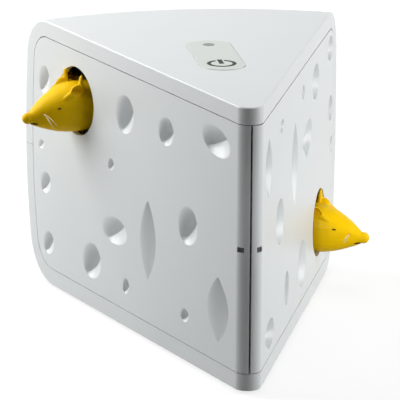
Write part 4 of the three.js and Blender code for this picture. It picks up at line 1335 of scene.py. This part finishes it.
RIGHT_MOUSE = (95, 190, 38)
past_side = Vector((-0.22, -0.93, 0.3)).normalized()
mouse_lamp = lamp_toward("SPOT", "right_mouse_lamp", 16, past_side, 1.0, RIGHT_MOUSE).data
mouse_lamp.spot_size = math.radians(6)
mouse_lamp.spot_blend = 0.7
mouse_lamp.shadow_soft_size = 0.03
print("three soft boxes and a narrow lamp")

# %% [markdown]
# The floor and the surround look white to the camera and in reflections, as a lit paper sweep does.
# The light that they give back to the toy is dimmer, so that its shaded sides stay shaded. Part of the
# floor's white is its own lit paper, which shows the shadow. Away from the toy it fades to pure white.

# %% The floor and the surround
FLOOR_GLOW = 0.7
GLOW_STRENGTH = 1.12
DIM_PAPER = "#8c8c8c"
DIM_SURROUND = 0.04
NEAR_FLOOR = 0.3
FAR_FLOOR = 0.9


def seen_rays(tree):
    """1 for the rays that see the surround: straight from the camera, in gloss and through plastic."""
    path = add_node(tree, "ShaderNodeLightPath")
    total = path.outputs["Is Camera Ray"]
    for other in ("Is Glossy Ray", "Is Transmission Ray"):
        larger = add_node(
            tree, "ShaderNodeMath", {"operation": "MAXIMUM"}, {0: total, 1: path.outputs[other]}
        )
        total = larger.outputs[0]
    return total


bpy.ops.object.select_all(action="DESELECT")
bpy.ops.mesh.primitive_plane_add(size=6, location=(0, 0, cad_low.z))
floor = bpy.context.object
floor.name = "studio_floor"
sweep, tree, paper = new_material("white_paper_sweep", "#f4f4f4", 0.9)
dim_paper = add_node(
    tree, "ShaderNodeBsdfPrincipled", {"Base Color": linear(DIM_PAPER), "Roughness": 0.9}
)
glow = add_node(tree, "ShaderNodeEmission", {"Color": (1, 1, 1, 1), "Strength": GLOW_STRENGTH})
sheet = add_node(tree, "ShaderNodeTexCoord")
away = add_node(
    tree, "ShaderNodeVectorMath", {"operation": "LENGTH"}, {0: sheet.outputs["Object"]}
)
fade = add_node(
    tree,
    "ShaderNodeMapRange",
    {"From Min": NEAR_FLOOR, "From Max": FAR_FLOOR, "To Min": FLOOR_GLOW, "To Max": 1},
    {"Value": away.outputs["Value"]},
)
lit = add_node(
    tree,
    "ShaderNodeMixShader",
    links={0: fade.outputs["Result"], 1: paper.outputs[0], 2: glow.outputs[0]},
)
either = add_node(
    tree,
    "ShaderNodeMixShader",
    links={0: seen_rays(tree), 1: dim_paper.outputs[0], 2: lit.outputs[0]},
)
tree.links.new(either.outputs[0], tree.nodes["Material Output"].inputs["Surface"])
dress(floor, sweep)

world = bpy.data.worlds.new("studio")
bpy.context.scene.world = world
world.use_nodes = True
tree = world.node_tree
strength = add_node(
    tree, "ShaderNodeMapRange", {"To Min": DIM_SURROUND, "To Max": 1}, {"Value": seen_rays(tree)}
)
tree.links.new(strength.outputs["Result"], tree.nodes["Background"].inputs["Strength"])
tree.nodes["Background"].inputs["Color"].default_value = (1, 1, 1, 1)
bpy.context.scene.view_settings.view_transform = "Standard"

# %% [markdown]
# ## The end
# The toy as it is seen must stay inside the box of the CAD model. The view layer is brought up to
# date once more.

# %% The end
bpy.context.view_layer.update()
